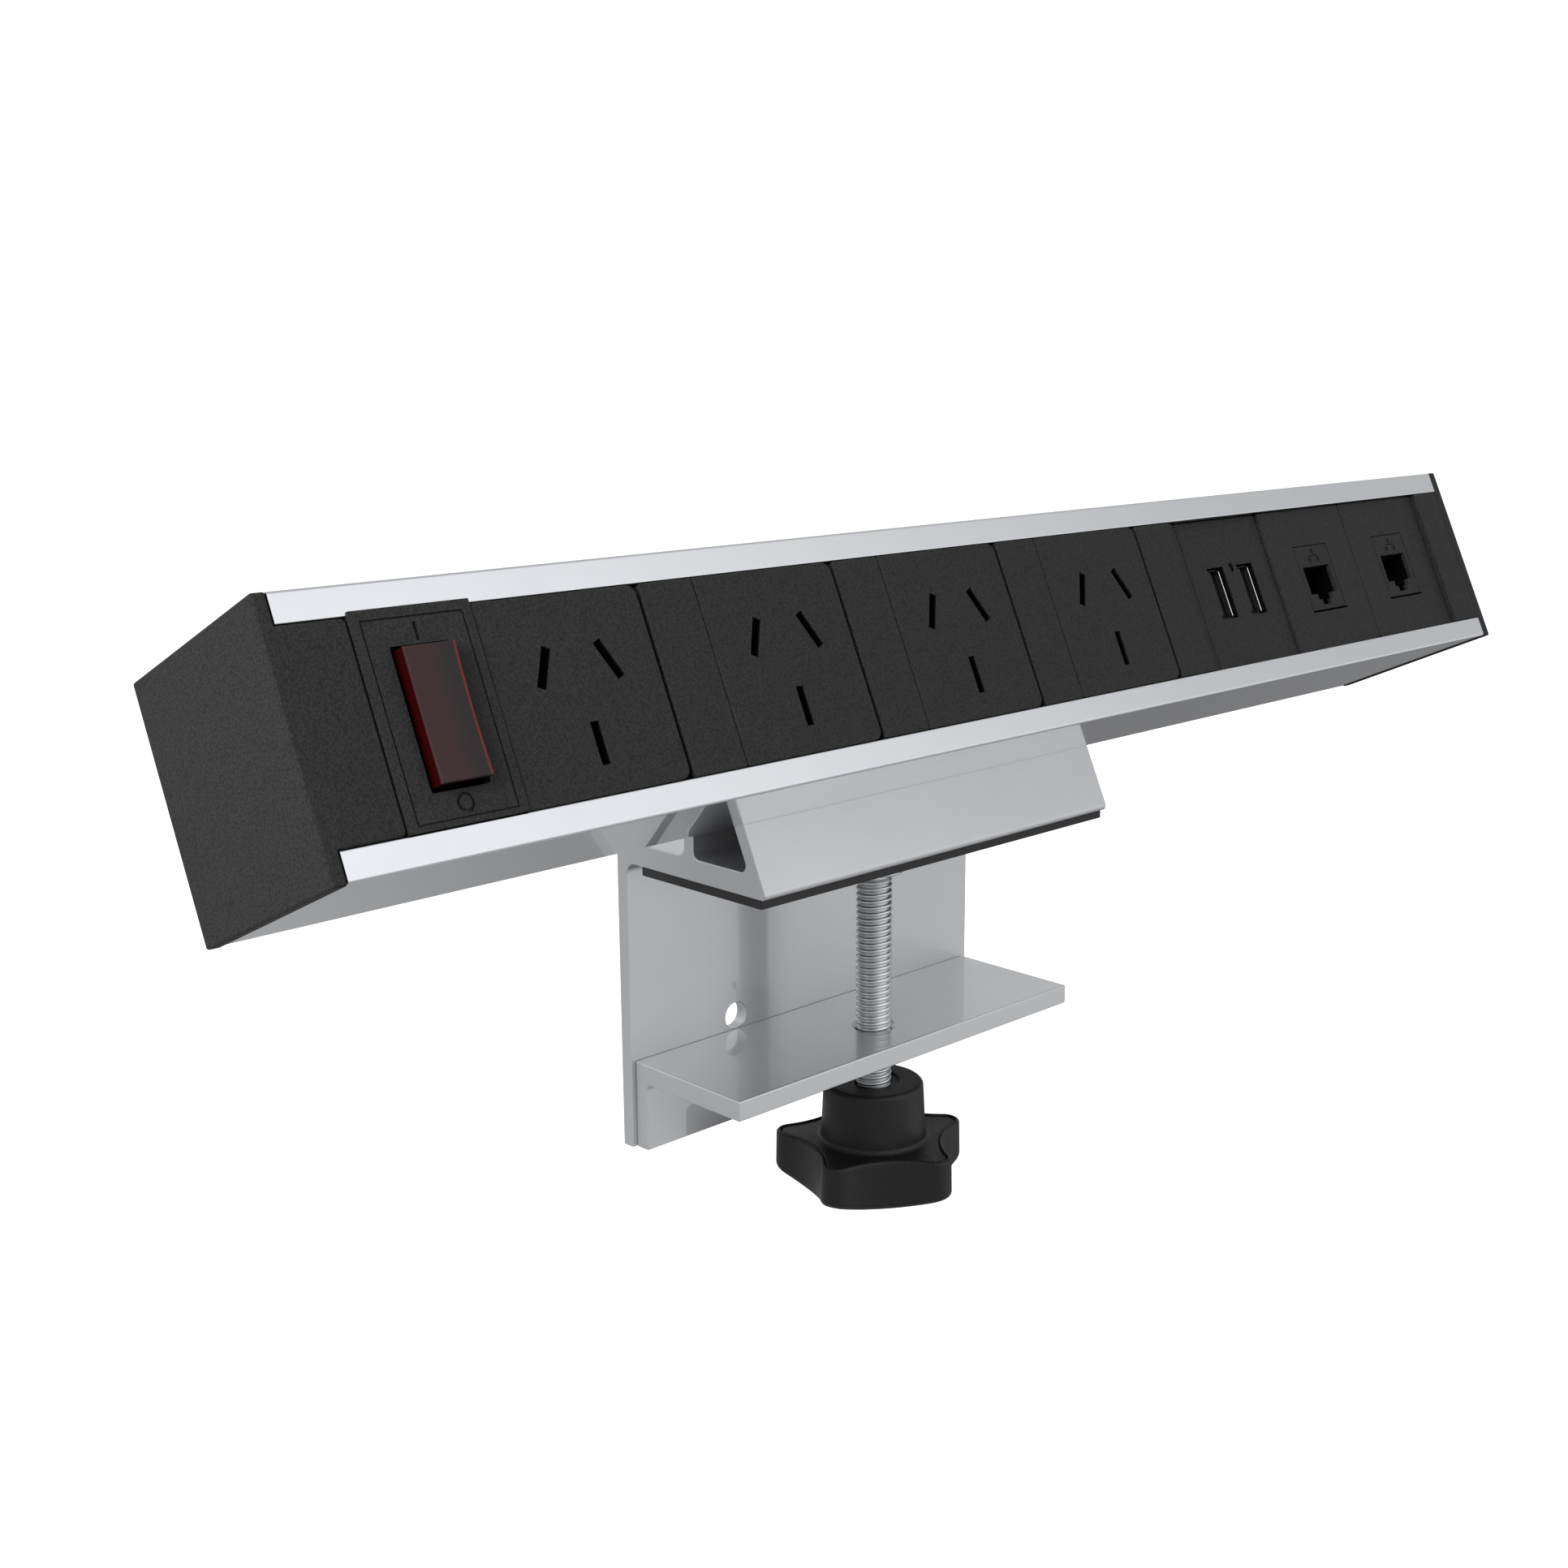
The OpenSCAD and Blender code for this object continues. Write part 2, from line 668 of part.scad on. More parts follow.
module lower_jaw() {
    color([0.78, 0.79, 0.82]) difference() {
        along_x(-jaw_w / 2, jaw_w / 2) polygon(concat(
            [[jaw_front, jaw_top], [jaw_front, jaw_top - jaw_t]],
            arc([plate_y - leg_t - jaw_r, jaw_top - jaw_t - jaw_r], jaw_r, 90, 0),
            [[plate_y - leg_t, plate_bottom], [plate_y, plate_bottom], [plate_y, jaw_top]]
        ));
        translate([0, screw_y, jaw_top - jaw_t - 1])
            cylinder(r = screw_d / 2 + 0.05, h = jaw_t + 2, $fn = curve_fn);
        translate([0, screw_y, jaw_top - 1])
            cylinder(r1 = screw_d / 2, r2 = screw_d / 2 + 1.1, h = 1 + eps, $fn = curve_fn);
        for (s = [-1, 1]) translate([s * bolt_x, plate_y - leg_t - 1, bolt_z])
            rotate([-90, 0, 0]) cylinder(r = bolt_r, h = leg_t + 2, $fn = curve_fn);
    }
}

module jaw_bolts() {
    color([0.75, 0.75, 0.77]) for (s = [-1, 1])
        translate([s * bolt_x, plate_y - leg_t, bolt_z]) rotate([-90, 0, 0]) difference() {
            union() {
                cylinder(r = bolt_r, h = leg_t + plate_t + eps, $fn = curve_fn);
                translate([0, 0, leg_t + plate_t]) intersection() {
                    cylinder(r = 5.25, h = 3.3, $fn = curve_fn);
                    translate([0, 0, -3.4]) sphere(r = 6.7, $fn = 64);
                }
            }
            translate([0, 0, leg_t + plate_t + 1.3]) cylinder(r = 2.3, h = 3, $fn = 6);
        }
}

// Screw, knob and foot

module clamp_screw() {
    color([0.8, 0.8, 0.82]) translate([0, screw_y, 0]) {
        translate([0, 0, star_top]) cylinder(r = screw_d / 2, h = shaft_top - star_top, $fn = curve_fn);
        translate([0, 0, shaft_top - eps]) cylinder(r = neck_r, h = ball_z - shaft_top, $fn = curve_fn);
        translate([0, 0, ball_z]) sphere(r = ball_r, $fn = curve_fn);
    }
}

// Each lobe's tip is an arc round a point tip_c from the middle, and each valley is an arc, round a point
// valley_c from the middle, that touches the tips on both sides
tip_c = knob_r - lobe_tip;
tip_gap = valley_r - lobe_tip;
valley_c = (pow(tip_c, 2) - pow(tip_gap, 2)) / (2 * tip_c * cos(180 / lobes) - 2 * tip_gap);
valley_arc = valley_c - valley_r;
// Angle from a lobe's middle to where its tip meets the valley
tip_end = atan2(valley_c * sin(180 / lobes) * lobe_tip / (lobe_tip + valley_arc),
    tip_c + (valley_c * cos(180 / lobes) - tip_c) * lobe_tip / (lobe_tip + valley_arc));

// Radius of the knob's rim at an angle a from a lobe's middle, and b from a valley's middle
function tip_reach(a) = tip_c * cos(a) + sqrt(pow(lobe_tip, 2) - pow(tip_c * sin(a), 2));
function valley_reach(b) = valley_c * cos(b) - sqrt(pow(valley_arc, 2) - pow(valley_c * sin(b), 2));
function from_lobe(a) = abs(a - round(a * lobes / 360) * 360 / lobes);
function rim_r(a) = from_lobe(a) < tip_end ? tip_reach(from_lobe(a))
    : valley_reach(180 / lobes - from_lobe(a));

module star_2d() {
    polygon([for (i = [0 : 179]) rim_r(2 * i) * [cos(2 * i + lobe_turn), sin(2 * i + lobe_turn)]]);
}

module knob() {
    cap_rise = dome_r - sqrt(dome_r * dome_r - knob_r * knob_r);
    color([0.1, 0.1, 0.1]) translate([0, screw_y, 0]) difference() {
        union() {
            intersection() {
                translate([0, 0, star_bottom - cap_rise])
                    linear_extrude(star_top - star_bottom + cap_rise) star_2d();
                translate([0, 0, star_bottom - cap_rise + dome_r]) sphere(r = dome_r, $fn = 160);
            }
            translate([0, 0, star_top - eps]) cylinder(r = hub_r, h = hub_top - star_top + eps, $fn = 64);
        }
        translate([0, 0, star_top]) cylinder(r = screw_d / 2, h = 40, $fn = curve_fn);
    }
}

module foot_cup() {
    color([0.7, 0.7, 0.72]) translate([0, screw_y, 0]) difference() {
        translate([0, 0, cup_top - cup_h]) cylinder(r = cup_r, h = cup_h, $fn = curve_fn);
        translate([0, 0, ball_z]) sphere(r = ball_r + 0.07, $fn = curve_fn);
        translate([0, 0, cup_top - cup_h - 1]) cylinder(r = neck_r + 0.25, h = 2.6, $fn = curve_fn);
    }
}

module foot_pad() {
    color([0.1, 0.1, 0.1]) translate([0, screw_y, cup_top])
        cylinder(r = cup_r - 0.3, h = foot_pad_t, $fn = curve_fn);
}

strip_extrusion();
end_cap_left();
end_cap_right();
mains_gland();
data_gland();
reset_module();
reset_rocker();
rocker_pin();
breaker_body();
terminal_block();
terminal_screws();
socket(0);  // socket_1
socket(1);  // socket_2
socket(2);  // socket_3
socket(3);  // socket_4
active_busbar();
neutral_busbar();
earth_busbar();
filler(0);  // filler_1
filler(1);  // filler_2
filler(2);  // filler_3
filler_4();
end_filler();
usb_module();
usb_shells();
usb_tongues();
usb_board();
usb_light_pipe();
data_module(data_x1);  // data_module_1
data_module(data_x2);  // data_module_2
data_jack(data_x1);  // data_jack_1
data_jack(data_x2);  // data_jack_2
jack_contacts(data_x1);  // jack_contacts_1
jack_contacts(data_x2);  // jack_contacts_2
wire_active();
wire_neutral();
wire_earth();
clamp_bracket();
channel_nuts();
mounting_screws();
desk_pad();
lower_jaw();
jaw_bolts();
clamp_screw();
knob();
foot_cup();
foot_pad();
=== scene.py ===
import json
import math
import bpy
import numpy as np
from mathutils import Matrix, Vector
from mathutils.geometry import tessellate_polygon


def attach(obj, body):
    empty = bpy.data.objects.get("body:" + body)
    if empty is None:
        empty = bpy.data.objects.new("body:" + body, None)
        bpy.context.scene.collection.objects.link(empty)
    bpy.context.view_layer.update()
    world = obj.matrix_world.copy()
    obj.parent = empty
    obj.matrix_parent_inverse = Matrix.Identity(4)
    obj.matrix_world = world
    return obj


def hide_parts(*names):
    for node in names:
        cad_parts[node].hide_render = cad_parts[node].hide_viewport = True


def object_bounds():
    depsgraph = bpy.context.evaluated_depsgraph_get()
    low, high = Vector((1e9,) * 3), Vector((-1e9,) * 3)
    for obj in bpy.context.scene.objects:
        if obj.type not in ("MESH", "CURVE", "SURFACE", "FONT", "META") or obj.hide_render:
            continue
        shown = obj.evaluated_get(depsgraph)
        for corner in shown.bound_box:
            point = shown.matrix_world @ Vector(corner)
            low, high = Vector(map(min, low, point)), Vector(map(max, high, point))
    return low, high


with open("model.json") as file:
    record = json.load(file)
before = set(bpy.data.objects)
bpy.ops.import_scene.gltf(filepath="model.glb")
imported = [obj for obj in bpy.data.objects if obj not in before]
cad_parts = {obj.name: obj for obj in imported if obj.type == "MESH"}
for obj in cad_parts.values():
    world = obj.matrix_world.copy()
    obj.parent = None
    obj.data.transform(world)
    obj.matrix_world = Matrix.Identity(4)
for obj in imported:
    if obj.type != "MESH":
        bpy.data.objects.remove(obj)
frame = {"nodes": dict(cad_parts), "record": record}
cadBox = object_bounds()
mounts = {mount["name"]: mount for mount in frame["record"]["mounts"]}
print("frame loaded,", len(frame["nodes"]), "nodes")

# Everything below is worked out in millimetres. The strip leans back, so its pieces are made in its own
# frame: x along the strip, then the depth behind its front face, then the height up that face.
outward = mounts["power_sockets"]["axis"]
lean = math.atan2(outward[2], -outward[1])
stripAxes = np.array([[1, 0, 0], [0, math.cos(lean), -math.sin(lean)], [0, math.sin(lean), math.cos(lean)]])


def nodePoints(name):
    mesh = frame["nodes"][name].data
    points = np.zeros(len(mesh.vertices) * 3)
    mesh.vertices.foreach_get("co", points)
    return points.reshape(-1, 3) * 1000


casing = nodePoints("strip_extrusion") @ stripAxes.T
stripCorner = np.array([0, casing[:, 1].min(), casing[:, 2].min()])   # lower front edge of the casing
stripDepth, stripHeight = (casing.max(0) - casing.min(0))[1:]
middle = stripHeight / 2


def stripSpan(name):   # lowest and highest corner of a node in the strip's frame
    points = nodePoints(name) @ stripAxes.T - stripCorner
    return points.min(0), points.max(0)


def clampSpan(name):   # lowest and highest corner of a node in the part's frame
    points = nodePoints(name)
    return points.min(0), points.max(0)


# Places. Each takes points of a flat drawing (u, v) and a depth w behind it; u x v faces the viewer.
def faceOn(points):   # a drawing on the strip's front face: u along it, v up it
    return (points[:, [0, 2, 1]] + stripCorner) @ stripAxes


def stripEnd(points):   # a drawing of the strip's end: u is depth, v is height, w runs towards -x
    return (np.stack([-points[:, 2], points[:, 0], points[:, 1]], 1) + stripCorner) @ stripAxes


def stripTop(points):   # a drawing looked at from above the strip: u along it, v is depth, w runs down
    return (points * [1, 1, -1] + stripCorner) @ stripAxes


def clampEnd(points):   # a drawing of the clamp's end: u is y, v is z, w runs towards -x
    return np.stack([-points[:, 2], points[:, 0], points[:, 1]], 1)


def clampTop(points):   # a drawing in plan: u is x, v is y, w runs down
    return points * [1, 1, -1]


# Outlines
def box(u0, v0, u1, v1):
    return [(u0, v0), (u1, v0), (u1, v1), (u0, v1)]


def turned2d(corners, degrees, centre):
    a = math.radians(degrees)
    turn = np.array([[math.cos(a), math.sin(a)], [-math.sin(a), math.cos(a)]])
    return np.asarray(corners, float) @ turn + centre


def circle(centre, radius, steps=40):
    a = np.arange(steps) * 2 * np.pi / steps
    return np.asarray(centre) + radius * np.stack([np.cos(a), np.sin(a)], 1)


# Each corner of a closed outline gives way to an arc, which touches both sides at radius / tan(half the angle
# between them). radii is one radius for all corners, or a list with one for each.
def rounded(corners, radii, steps=5):
    corners = np.asarray(corners, float)
    radii = np.broadcast_to(radii, len(corners)).astype(float)
    before = np.roll(corners, 1, 0) - corners
    after = np.roll(corners, -1, 0) - corners
    before /= np.linalg.norm(before, axis=1)[:, None]
    after /= np.linalg.norm(after, axis=1)[:, None]
    half = np.arccos(np.clip((before * after).sum(1), -1, 1)) / 2
    inward = before + after
    inward /= np.linalg.norm(inward, axis=1)[:, None]
    centre = corners + inward * (radii / np.sin(half))[:, None]
    start = before * (radii / np.tan(half))[:, None] + corners - centre
    side = np.sign(after[:, 0] * before[:, 1] - after[:, 1] * before[:, 0])
    bend = side * (np.pi - 2 * half)
    a = bend[:, None] * np.linspace(0, 1, steps + 1)[None]
    u = start[:, :1] * np.cos(a) - start[:, 1:] * np.sin(a)
    v = start[:, :1] * np.sin(a) + start[:, 1:] * np.cos(a)
    return (np.stack([u, v], 2) + centre[:, None]).reshape(-1, 2)


def inset(loop, distance):   # every side moves to its left by the distance, mitred where two sides meet
    side = np.roll(loop, -1, 0) - loop
    side /= np.linalg.norm(side, axis=1)[:, None]
    left = np.stack([-side[:, 1], side[:, 0]], 1)
    before = np.roll(left, 1, 0)
    return loop + distance * (left + before) / (1 + (left * before).sum(1))[:, None]


# Depth and inset of each ring from the front face to the back one, with a quarter circle at each edge
def edges(front, back, frontRadius=0.3, backRadius=0.0, steps=3):
    a = np.linspace(0, np.pi / 2, steps + 1)
    bow, drop = 1 - np.sin(a), 1 - np.cos(a)
    rings = list(zip(front + frontRadius * drop, frontRadius * bow)) if frontRadius else [(front, 0)]
    rear = list(zip(back - backRadius * drop, backRadius * bow))[::-1] if backRadius else [(back, 0)]
    return rings + rear


def belt(near, far):   # faces between closed rings of point numbers and the next ones
    return np.stack([near, far, np.roll(far, -1, 1), np.roll(near, -1, 1)], 2).reshape(-1, 4).tolist()


sliver = 1e-9   # square mm: closing triangles below this are left out


# A flat piece with holes: each loop carries its own rings (depth, inset), and the first and last rings of all
# loops close the front and the back. The outer loop runs anticlockwise as seen from the front; holes are
# turned round here.
def slab(place, outer, rings, holes=()):
    loops = [(np.asarray(outer, float), rings)]
    loops += [(np.asarray(loop, float)[::-1], own) for loop, own in holes]
    points, faces, ends = [], [], [[], []]
    start = 0
    for loop, own in loops:
        count, layers = len(loop), len(own)
        points += [np.column_stack([inset(loop, back), np.full(count, depth)]) for depth, back in own]
        index = start + np.arange(layers * count).reshape(layers, count)
        faces += belt(index[:-1], index[1:])
        ends[0].append(index[0])
        ends[1].append(index[-1])
        start += layers * count
    points = np.concatenate(points)
    for side, cap in enumerate(ends):
        order = np.concatenate(cap)
        flat = points[order][:, :2]
        tris = np.array(tessellate_polygon([[Vector((*points[i][:2], 0)) for i in loop] for loop in cap]))
        a, b, c = flat[tris[:, 0]], flat[tris[:, 1]], flat[tris[:, 2]]
        area = (b[:, 0] - a[:, 0]) * (c[:, 1] - a[:, 1]) - (b[:, 1] - a[:, 1]) * (c[:, 0] - a[:, 0])
        wrong = (area < 0) if side == 0 else (area > 0)
        tris[wrong] = tris[wrong][:, ::-1]
        faces += order[tris[np.abs(area) > sliver]].tolist()
    return place(points), faces


# A stack of closed rings with the same number of points, joined ring to ring. Its ends close with flat faces,
# or the last ring joins the first one when it is a tube.
def loft(rings, tube=False):
    rings = np.asarray(rings, float)
    layers, count = rings.shape[:2]
    index = np.arange(layers * count).reshape(layers, count)
    far = np.roll(index, -1, 0)
    near = index if tube else index[:-1]
    far = far if tube else far[:-1]
    quads = np.stack([near, np.roll(near, -1, 1), np.roll(far, -1, 1), far], 2)
    faces = quads.reshape(-1, 4).tolist()
    if not tube:
        faces += [index[0][::-1].tolist(), index[-1].tolist()]
    return rings.reshape(-1, 3), faces


# A profile of (radius, height) turned about an upright axis, from its lowest point to its highest
def lathe(profile, centre, steps=64, tube=False):
    profile = np.asarray(profile, float)
    a = np.arange(steps) * 2 * np.pi / steps
    ring = np.stack([np.cos(a), np.sin(a)], 1)
    flat = profile[:, 0][:, None, None] * ring[None] + np.asarray(centre)[:2]
    height = np.broadcast_to(profile[:, 1][:, None, None], (*flat.shape[:2], 1))
    return loft(np.concatenate([flat, height], 2), tube)


def placed(shell, move):   # a shell with its points sent through a function
    return move(shell[0]), shell[1]


def along(direction, at):   # sends the upright axis of a turned shape to a direction, and its foot to a point
    turn = np.array(Vector((0, 0, 1)).rotation_difference(Vector(direction)).to_matrix())
    return lambda points: points @ turn.T + np.asarray(at)


# Materials. A wrapped socket takes part in sums, and a sum adds its Math nodes.
class Wire:
    def __init__(self, graph, socket):
        self.graph, self.socket = graph, socket

    def maths(self, operation, *terms):
        made = self.graph.node("Math", {"operation": operation}, dict(enumerate(terms)))
        return Wire(self.graph, made.outputs[0])

    def __add__(self, other):
        return self.maths("ADD", self, other)

    def __sub__(self, other):
        return self.maths("SUBTRACT", self, other)

    def __rsub__(self, other):
        return self.maths("SUBTRACT", other, self)

    def __mul__(self, other):
        return self.maths("MULTIPLY", self, other)

    def __truediv__(self, other):
        return self.maths("DIVIDE", self, other)

    __radd__, __rmul__ = __add__, __mul__

    def step(self, low, high):   # 0 below low, 1 above high, smooth between
        made = self.graph.node("MapRange", {"interpolation_type": "SMOOTHSTEP"},
                               {"Value": self, "From Min": low, "From Max": high})
        return Wire(self.graph, made.outputs[0])


class Graph:
    def __init__(self, tree):
        self.tree = tree

    def feed(self, socket, value):
        if isinstance(value, Wire):
            self.tree.links.new(value.socket, socket)
        else:
            socket.default_value = value

    def node(self, kind, settings=None, sockets=None):
        made = self.tree.nodes.new("ShaderNode" + kind)
        for key, value in (settings or {}).items():
            setattr(made, key, value)
        for key, value in (sockets or {}).items():
            self.feed(made.inputs[key], value)
        return made


class Finish(Graph):
    def __init__(self, name, colour, roughness, metallic=0.0, **more):
        self.material = bpy.data.materials.new(name)
        self.material.use_nodes = True
        super().__init__(self.material.node_tree)
        self.shader = self.tree.nodes["Principled BSDF"]
        self.set(Base_Color=(*colour, 1), Roughness=roughness, Metallic=metallic)
        self.set(**more)
        self.material.diffuse_color = (*colour, 1)
        self.coords = Wire(self, self.node("TexCoord").outputs["Object"])

    def set(self, **values):
        for key, value in values.items():
            self.feed(self.shader.inputs[key.replace("_", " ")], value)

    def noise(self, size, detail=3.0, stretch=(1, 1, 1)):   # size is the grain's width in mm
        scaled = self.node("Mapping", None, {"Vector": self.coords, "Scale": stretch})
        made = self.node("TexNoise", None, {"Vector": Wire(self, scaled.outputs[0]), "Scale": 1000 / size,
                                            "Detail": detail})
        return Wire(self, made.outputs[0])

    def cells(self, size):   # the height of a pebbled grain, low along the lines between its cells
        made = self.node("TexVoronoi", {"feature": "SMOOTH_F1"},
                         {"Vector": self.coords, "Scale": 1000 / size, "Smoothness": 0.6})
        return 1 - Wire(self, made.outputs["Distance"])

    def split(self):
        made = self.node("SeparateXYZ", None, {"Vector": self.coords})
        return [Wire(self, made.outputs[axis]) for axis in range(3)]

    def depth(self):   # mm behind the strip's front face
        y, z = self.split()[1:]
        return (y * math.cos(lean) - z * math.sin(lean)) * 1000 - stripCorner[1]

    def height(self):   # mm up the strip's front face from its lower edge
        y, z = self.split()[1:]
        return (y * math.sin(lean) + z * math.cos(lean)) * 1000 - stripCorner[2]

    def mix(self, share, first, second):
        made = self.node("Mix", {"data_type": "RGBA"})
        for number, value in ((0, share), (6, first), (7, second)):
            self.feed(made.inputs[number], value if isinstance(value, (Wire, float)) else (*value, 1))
        return Wire(self, made.outputs[2])

    def bump(self, height, depth):   # depth of the relief in mm
        made = self.node("Bump", None, {"Height": height, "Distance": depth / 1000})
        self.set(Normal=Wire(self, made.outputs[0]))


def shaded(colour, factor):
    return tuple(part * factor for part in colour)


# inside is the share of the colour left in the painted shade deep inside openings
pebbled = {"pebbles": 0.7, "fineSize": 0.35, "softSize": 6, "tintPebbles": 0.4, "light": 1.6, "dark": 0.6,
           "swing": 0.12, "fade": 0.4, "inside": 0.06}


# A moulded face with a pebbled grain. From a given depth behind the strip's front, inside its openings, its
# colour fades to a painted shade.
def grainedPlastic(name, grey, roughness, grain, relief, gloss=0.15, paintedShadeFrom=None):
    p, colour = pebbled, (grey, grey, grey)
    finish = Finish(name, colour, roughness, Specular_IOR_Level=gloss)
    pebbles, soft = finish.cells(grain), finish.noise(grain * p["softSize"])
    fine = finish.noise(grain * p["fineSize"], 2.0)
    finish.bump(pebbles * p["pebbles"] + fine * (1 - p["pebbles"]), relief)
    finish.set(Roughness=roughness - p["swing"] / 2 + soft * p["swing"])
    share = (pebbles * p["tintPebbles"] + fine * (1 - p["tintPebbles"])).step(0.3, 0.8)
    tint = finish.mix(share, shaded(colour, p["dark"]), shaded(colour, p["light"]))
    # painted shade: the colour darkens deep inside the openings, where little light reaches
    if paintedShadeFrom is not None:
        inside = finish.depth().step(paintedShadeFrom, paintedShadeFrom + p["fade"])
        tint = finish.mix(inside, tint, shaded(colour, p["inside"]))
    finish.set(Base_Color=tint)
    return finish.material


brushed = {"line": 0.12, "cloud": 14.0, "lineSwing": 0.05, "cloudSwing": 0.04, "deep": 0.94}


def metal(name, colour, roughness, brush, relief, **more):
    b = brushed
    finish = Finish(name, colour, roughness, 1.0, **more)
    lines, cloud = finish.noise(b["line"], 4.0, brush), finish.noise(b["cloud"])
    finish.bump(lines, relief)
    finish.set(Roughness=roughness - 0.04 + lines * b["lineSwing"] + cloud * b["cloudSwing"])
    finish.set(Base_Color=finish.mix(cloud, colour, shaded(colour, b["deep"])))
    return finish.material


def plainPlastic(name, colour, roughness=0.45):
    finish = Finish(name, colour, roughness)
    grain = finish.noise(0.5)
    finish.bump(grain, 0.01)
    finish.set(Roughness=roughness - 0.05 + grain * 0.1)
    return finish.material


def rubber():
    finish = Finish("padRubber", (0.020, 0.020, 0.020), 0.8)
    grain = finish.noise(0.25, 4.0)
    finish.bump(grain, 0.05)
    finish.set(Roughness=0.72 + grain * 0.15)
    finish.set(Base_Color=finish.mix(grain, (0.016, 0.016, 0.016), (0.03, 0.03, 0.031)))
    return finish.material


alongX, everyWay = (0.02, 1, 1), (1, 1, 1)   # which way the brushed lines run
finishes = {
    "anodised": metal("anodisedAluminium", (0.78, 0.79, 0.81), 0.20, alongX, 0.0001,
                      Coat_Weight=0.8, Coat_IOR=1.5, Coat_Roughness=0.03),
    "clamp": metal("clampAluminium", (0.58, 0.585, 0.60), 0.34, alongX, 0.0001, Metallic=0.78,
                   Coat_Weight=1.0, Coat_IOR=2.1, Coat_Roughness=0.015),
    # the front and socket plastics take a painted shade inside their openings
    "front": grainedPlastic("frontPlastic", 0.0155, 0.55, 0.42, 0.07, paintedShadeFrom=2.0),
    "socket": grainedPlastic("socketPlastic", 0.0155, 0.55, 0.42, 0.07, paintedShadeFrom=0.12),
    "cap": grainedPlastic("capPlastic", 0.0145, 0.55, 0.42, 0.07),
    "knob": grainedPlastic("knobPlastic", 0.0035, 0.42, 0.35, 0.06, 0.4),
    "rubber": rubber(),
    "zinc": metal("zincSteel", (0.72, 0.73, 0.74), 0.28, everyWay, 0.00002),
    "copper": metal("copperBar", (0.80, 0.50, 0.32), 0.30, (0.05, 1, 1), 0.002),
    "gold": metal("goldContact", (0.90, 0.66, 0.30), 0.20, everyWay, 0.001),
    "board": plainPlastic("boardGreen", (0.02, 0.13, 0.06)),
    "cream": plainPlastic("terminalCream", (0.55, 0.50, 0.38)),
    "grey": plainPlastic("breakerGrey", (0.10, 0.10, 0.11)),
    "clear": plainPlastic("lightPipe", (0.0008, 0.0008, 0.0009), 0.5),
    "brown": plainPlastic("wireBrown", (0.14, 0.06, 0.03)),
    "blue": plainPlastic("wireBlue", (0.03, 0.10, 0.40)),
    "green": plainPlastic("wireGreen", (0.08, 0.33, 0.07)),
}
print("finishes made")


def linked(made):
    bpy.context.scene.collection.objects.link(made)
    return made


def meshFrom(name, shells):   # one mesh in metres out of shells in millimetres
    points, faces, start = [], [], 0
    for shell in shells:
        points.append(shell[0])
        faces += [[number + start for number in face] for face in shell[1]]
        start += len(shell[0])
    mesh = bpy.data.meshes.new(name)
    mesh.from_pydata((np.concatenate(points) / 1000).tolist(), [], faces)
    return mesh


def evenNormals(made, sharp):   # flat faces keep flat normals beside their rounded edges
    made.data.set_sharp_from_angle(angle=math.radians(sharp))
    weighted = made.modifiers.new("Weighted normals", "WEIGHTED_NORMAL")
    weighted.keep_sharp = True
    weighted.weight = 90


# Joins shells into one piece that stands for a CAD node. sharp is the angle from which an edge shows; a piece
# without one is smooth all over.
def piece(name, shells, body, finish, stands, sharp=40):
    mesh = meshFrom(name, shells)
    mesh.shade_smooth()
    mesh.materials.append(finishes[finish])
    made = linked(bpy.data.objects.new(name, mesh))
    if sharp:
        evenNormals(made, sharp)
    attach(made, body)
    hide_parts(stands)
    return made


# Extrusion: one section carried along the strip
extrusion = {"wall": 2.0, "lip": 5.4, "bossDepth": 7.4, "bossHalf": 6.4, "channel": 20.0, "mouthHalf": 2.3,
             "mouthDeep": 1.8, "channelHalf": 4.3, "channelDeep": 5.6, "edge": 0.6, "fine": 0.3, "end": 0.15,
             "short": 0.25}   # short is how far the caps stand below it


def stripExtrusion():
    e, back, top = extrusion, stripDepth, stripHeight
    low, high = stripSpan("strip_extrusion")
    mid, mouth, groove, boss = e["channel"], e["mouthHalf"], e["channelHalf"], e["bossHalf"]
    wall, lip, inside, bossFront = e["wall"], e["lip"], back - e["wall"], back - e["bossDepth"]
    ledge, floor = back - e["mouthDeep"], back - e["channelDeep"]
    outline = [
        (0, e["short"]), (back, e["short"]), (back, mid - mouth), (ledge, mid - mouth), (ledge, mid - groove),
        (floor, mid - groove), (floor, mid + groove), (ledge, mid + groove), (ledge, mid + mouth),
        (back, mid + mouth), (back, top), (0, top), (0, top - lip), (wall, top - lip), (wall, top - wall),
        (inside, top - wall), (inside, mid + boss), (bossFront, mid + boss), (bossFront, mid - boss),
        (inside, mid - boss), (inside, wall), (wall, wall), (wall, lip), (0, lip)]
    radii = [e["edge"] if spot in (0, 1, 10, 11) else e["fine"] for spot in range(len(outline))]
    shell = slab(stripEnd, rounded(outline, radii), edges(-high[0], -low[0], e["end"], e["end"], 2))
    piece("stripCasing", [shell], "strip", "anodised", "strip_extrusion")


stripExtrusion()
print("strip casing made")


# Modules: each front plate is a slab on the strip's face, and filler is the depth of a filler's flange
module = {"seam": 0.1, "plate": 3.0, "edge": 0.18, "corner": 0.5, "flangeLow": 3.2, "flangeCorner": 0.4,
          "flangeEdge": 0.2, "filler": 8.0}
opening = (extrusion["lip"] + module["seam"], stripHeight - extrusion["lip"] - module["seam"])


def plate(x0, x1, front, holes=()):
    outline = rounded(box(x0, opening[0], x1, opening[1]), module["corner"])
    return slab(faceOn, outline, edges(front, front + module["plate"], module["edge"]), holes)


def frontPiece(name, shells, node, finish="front"):
    piece(name, shells, "strip", finish, node)


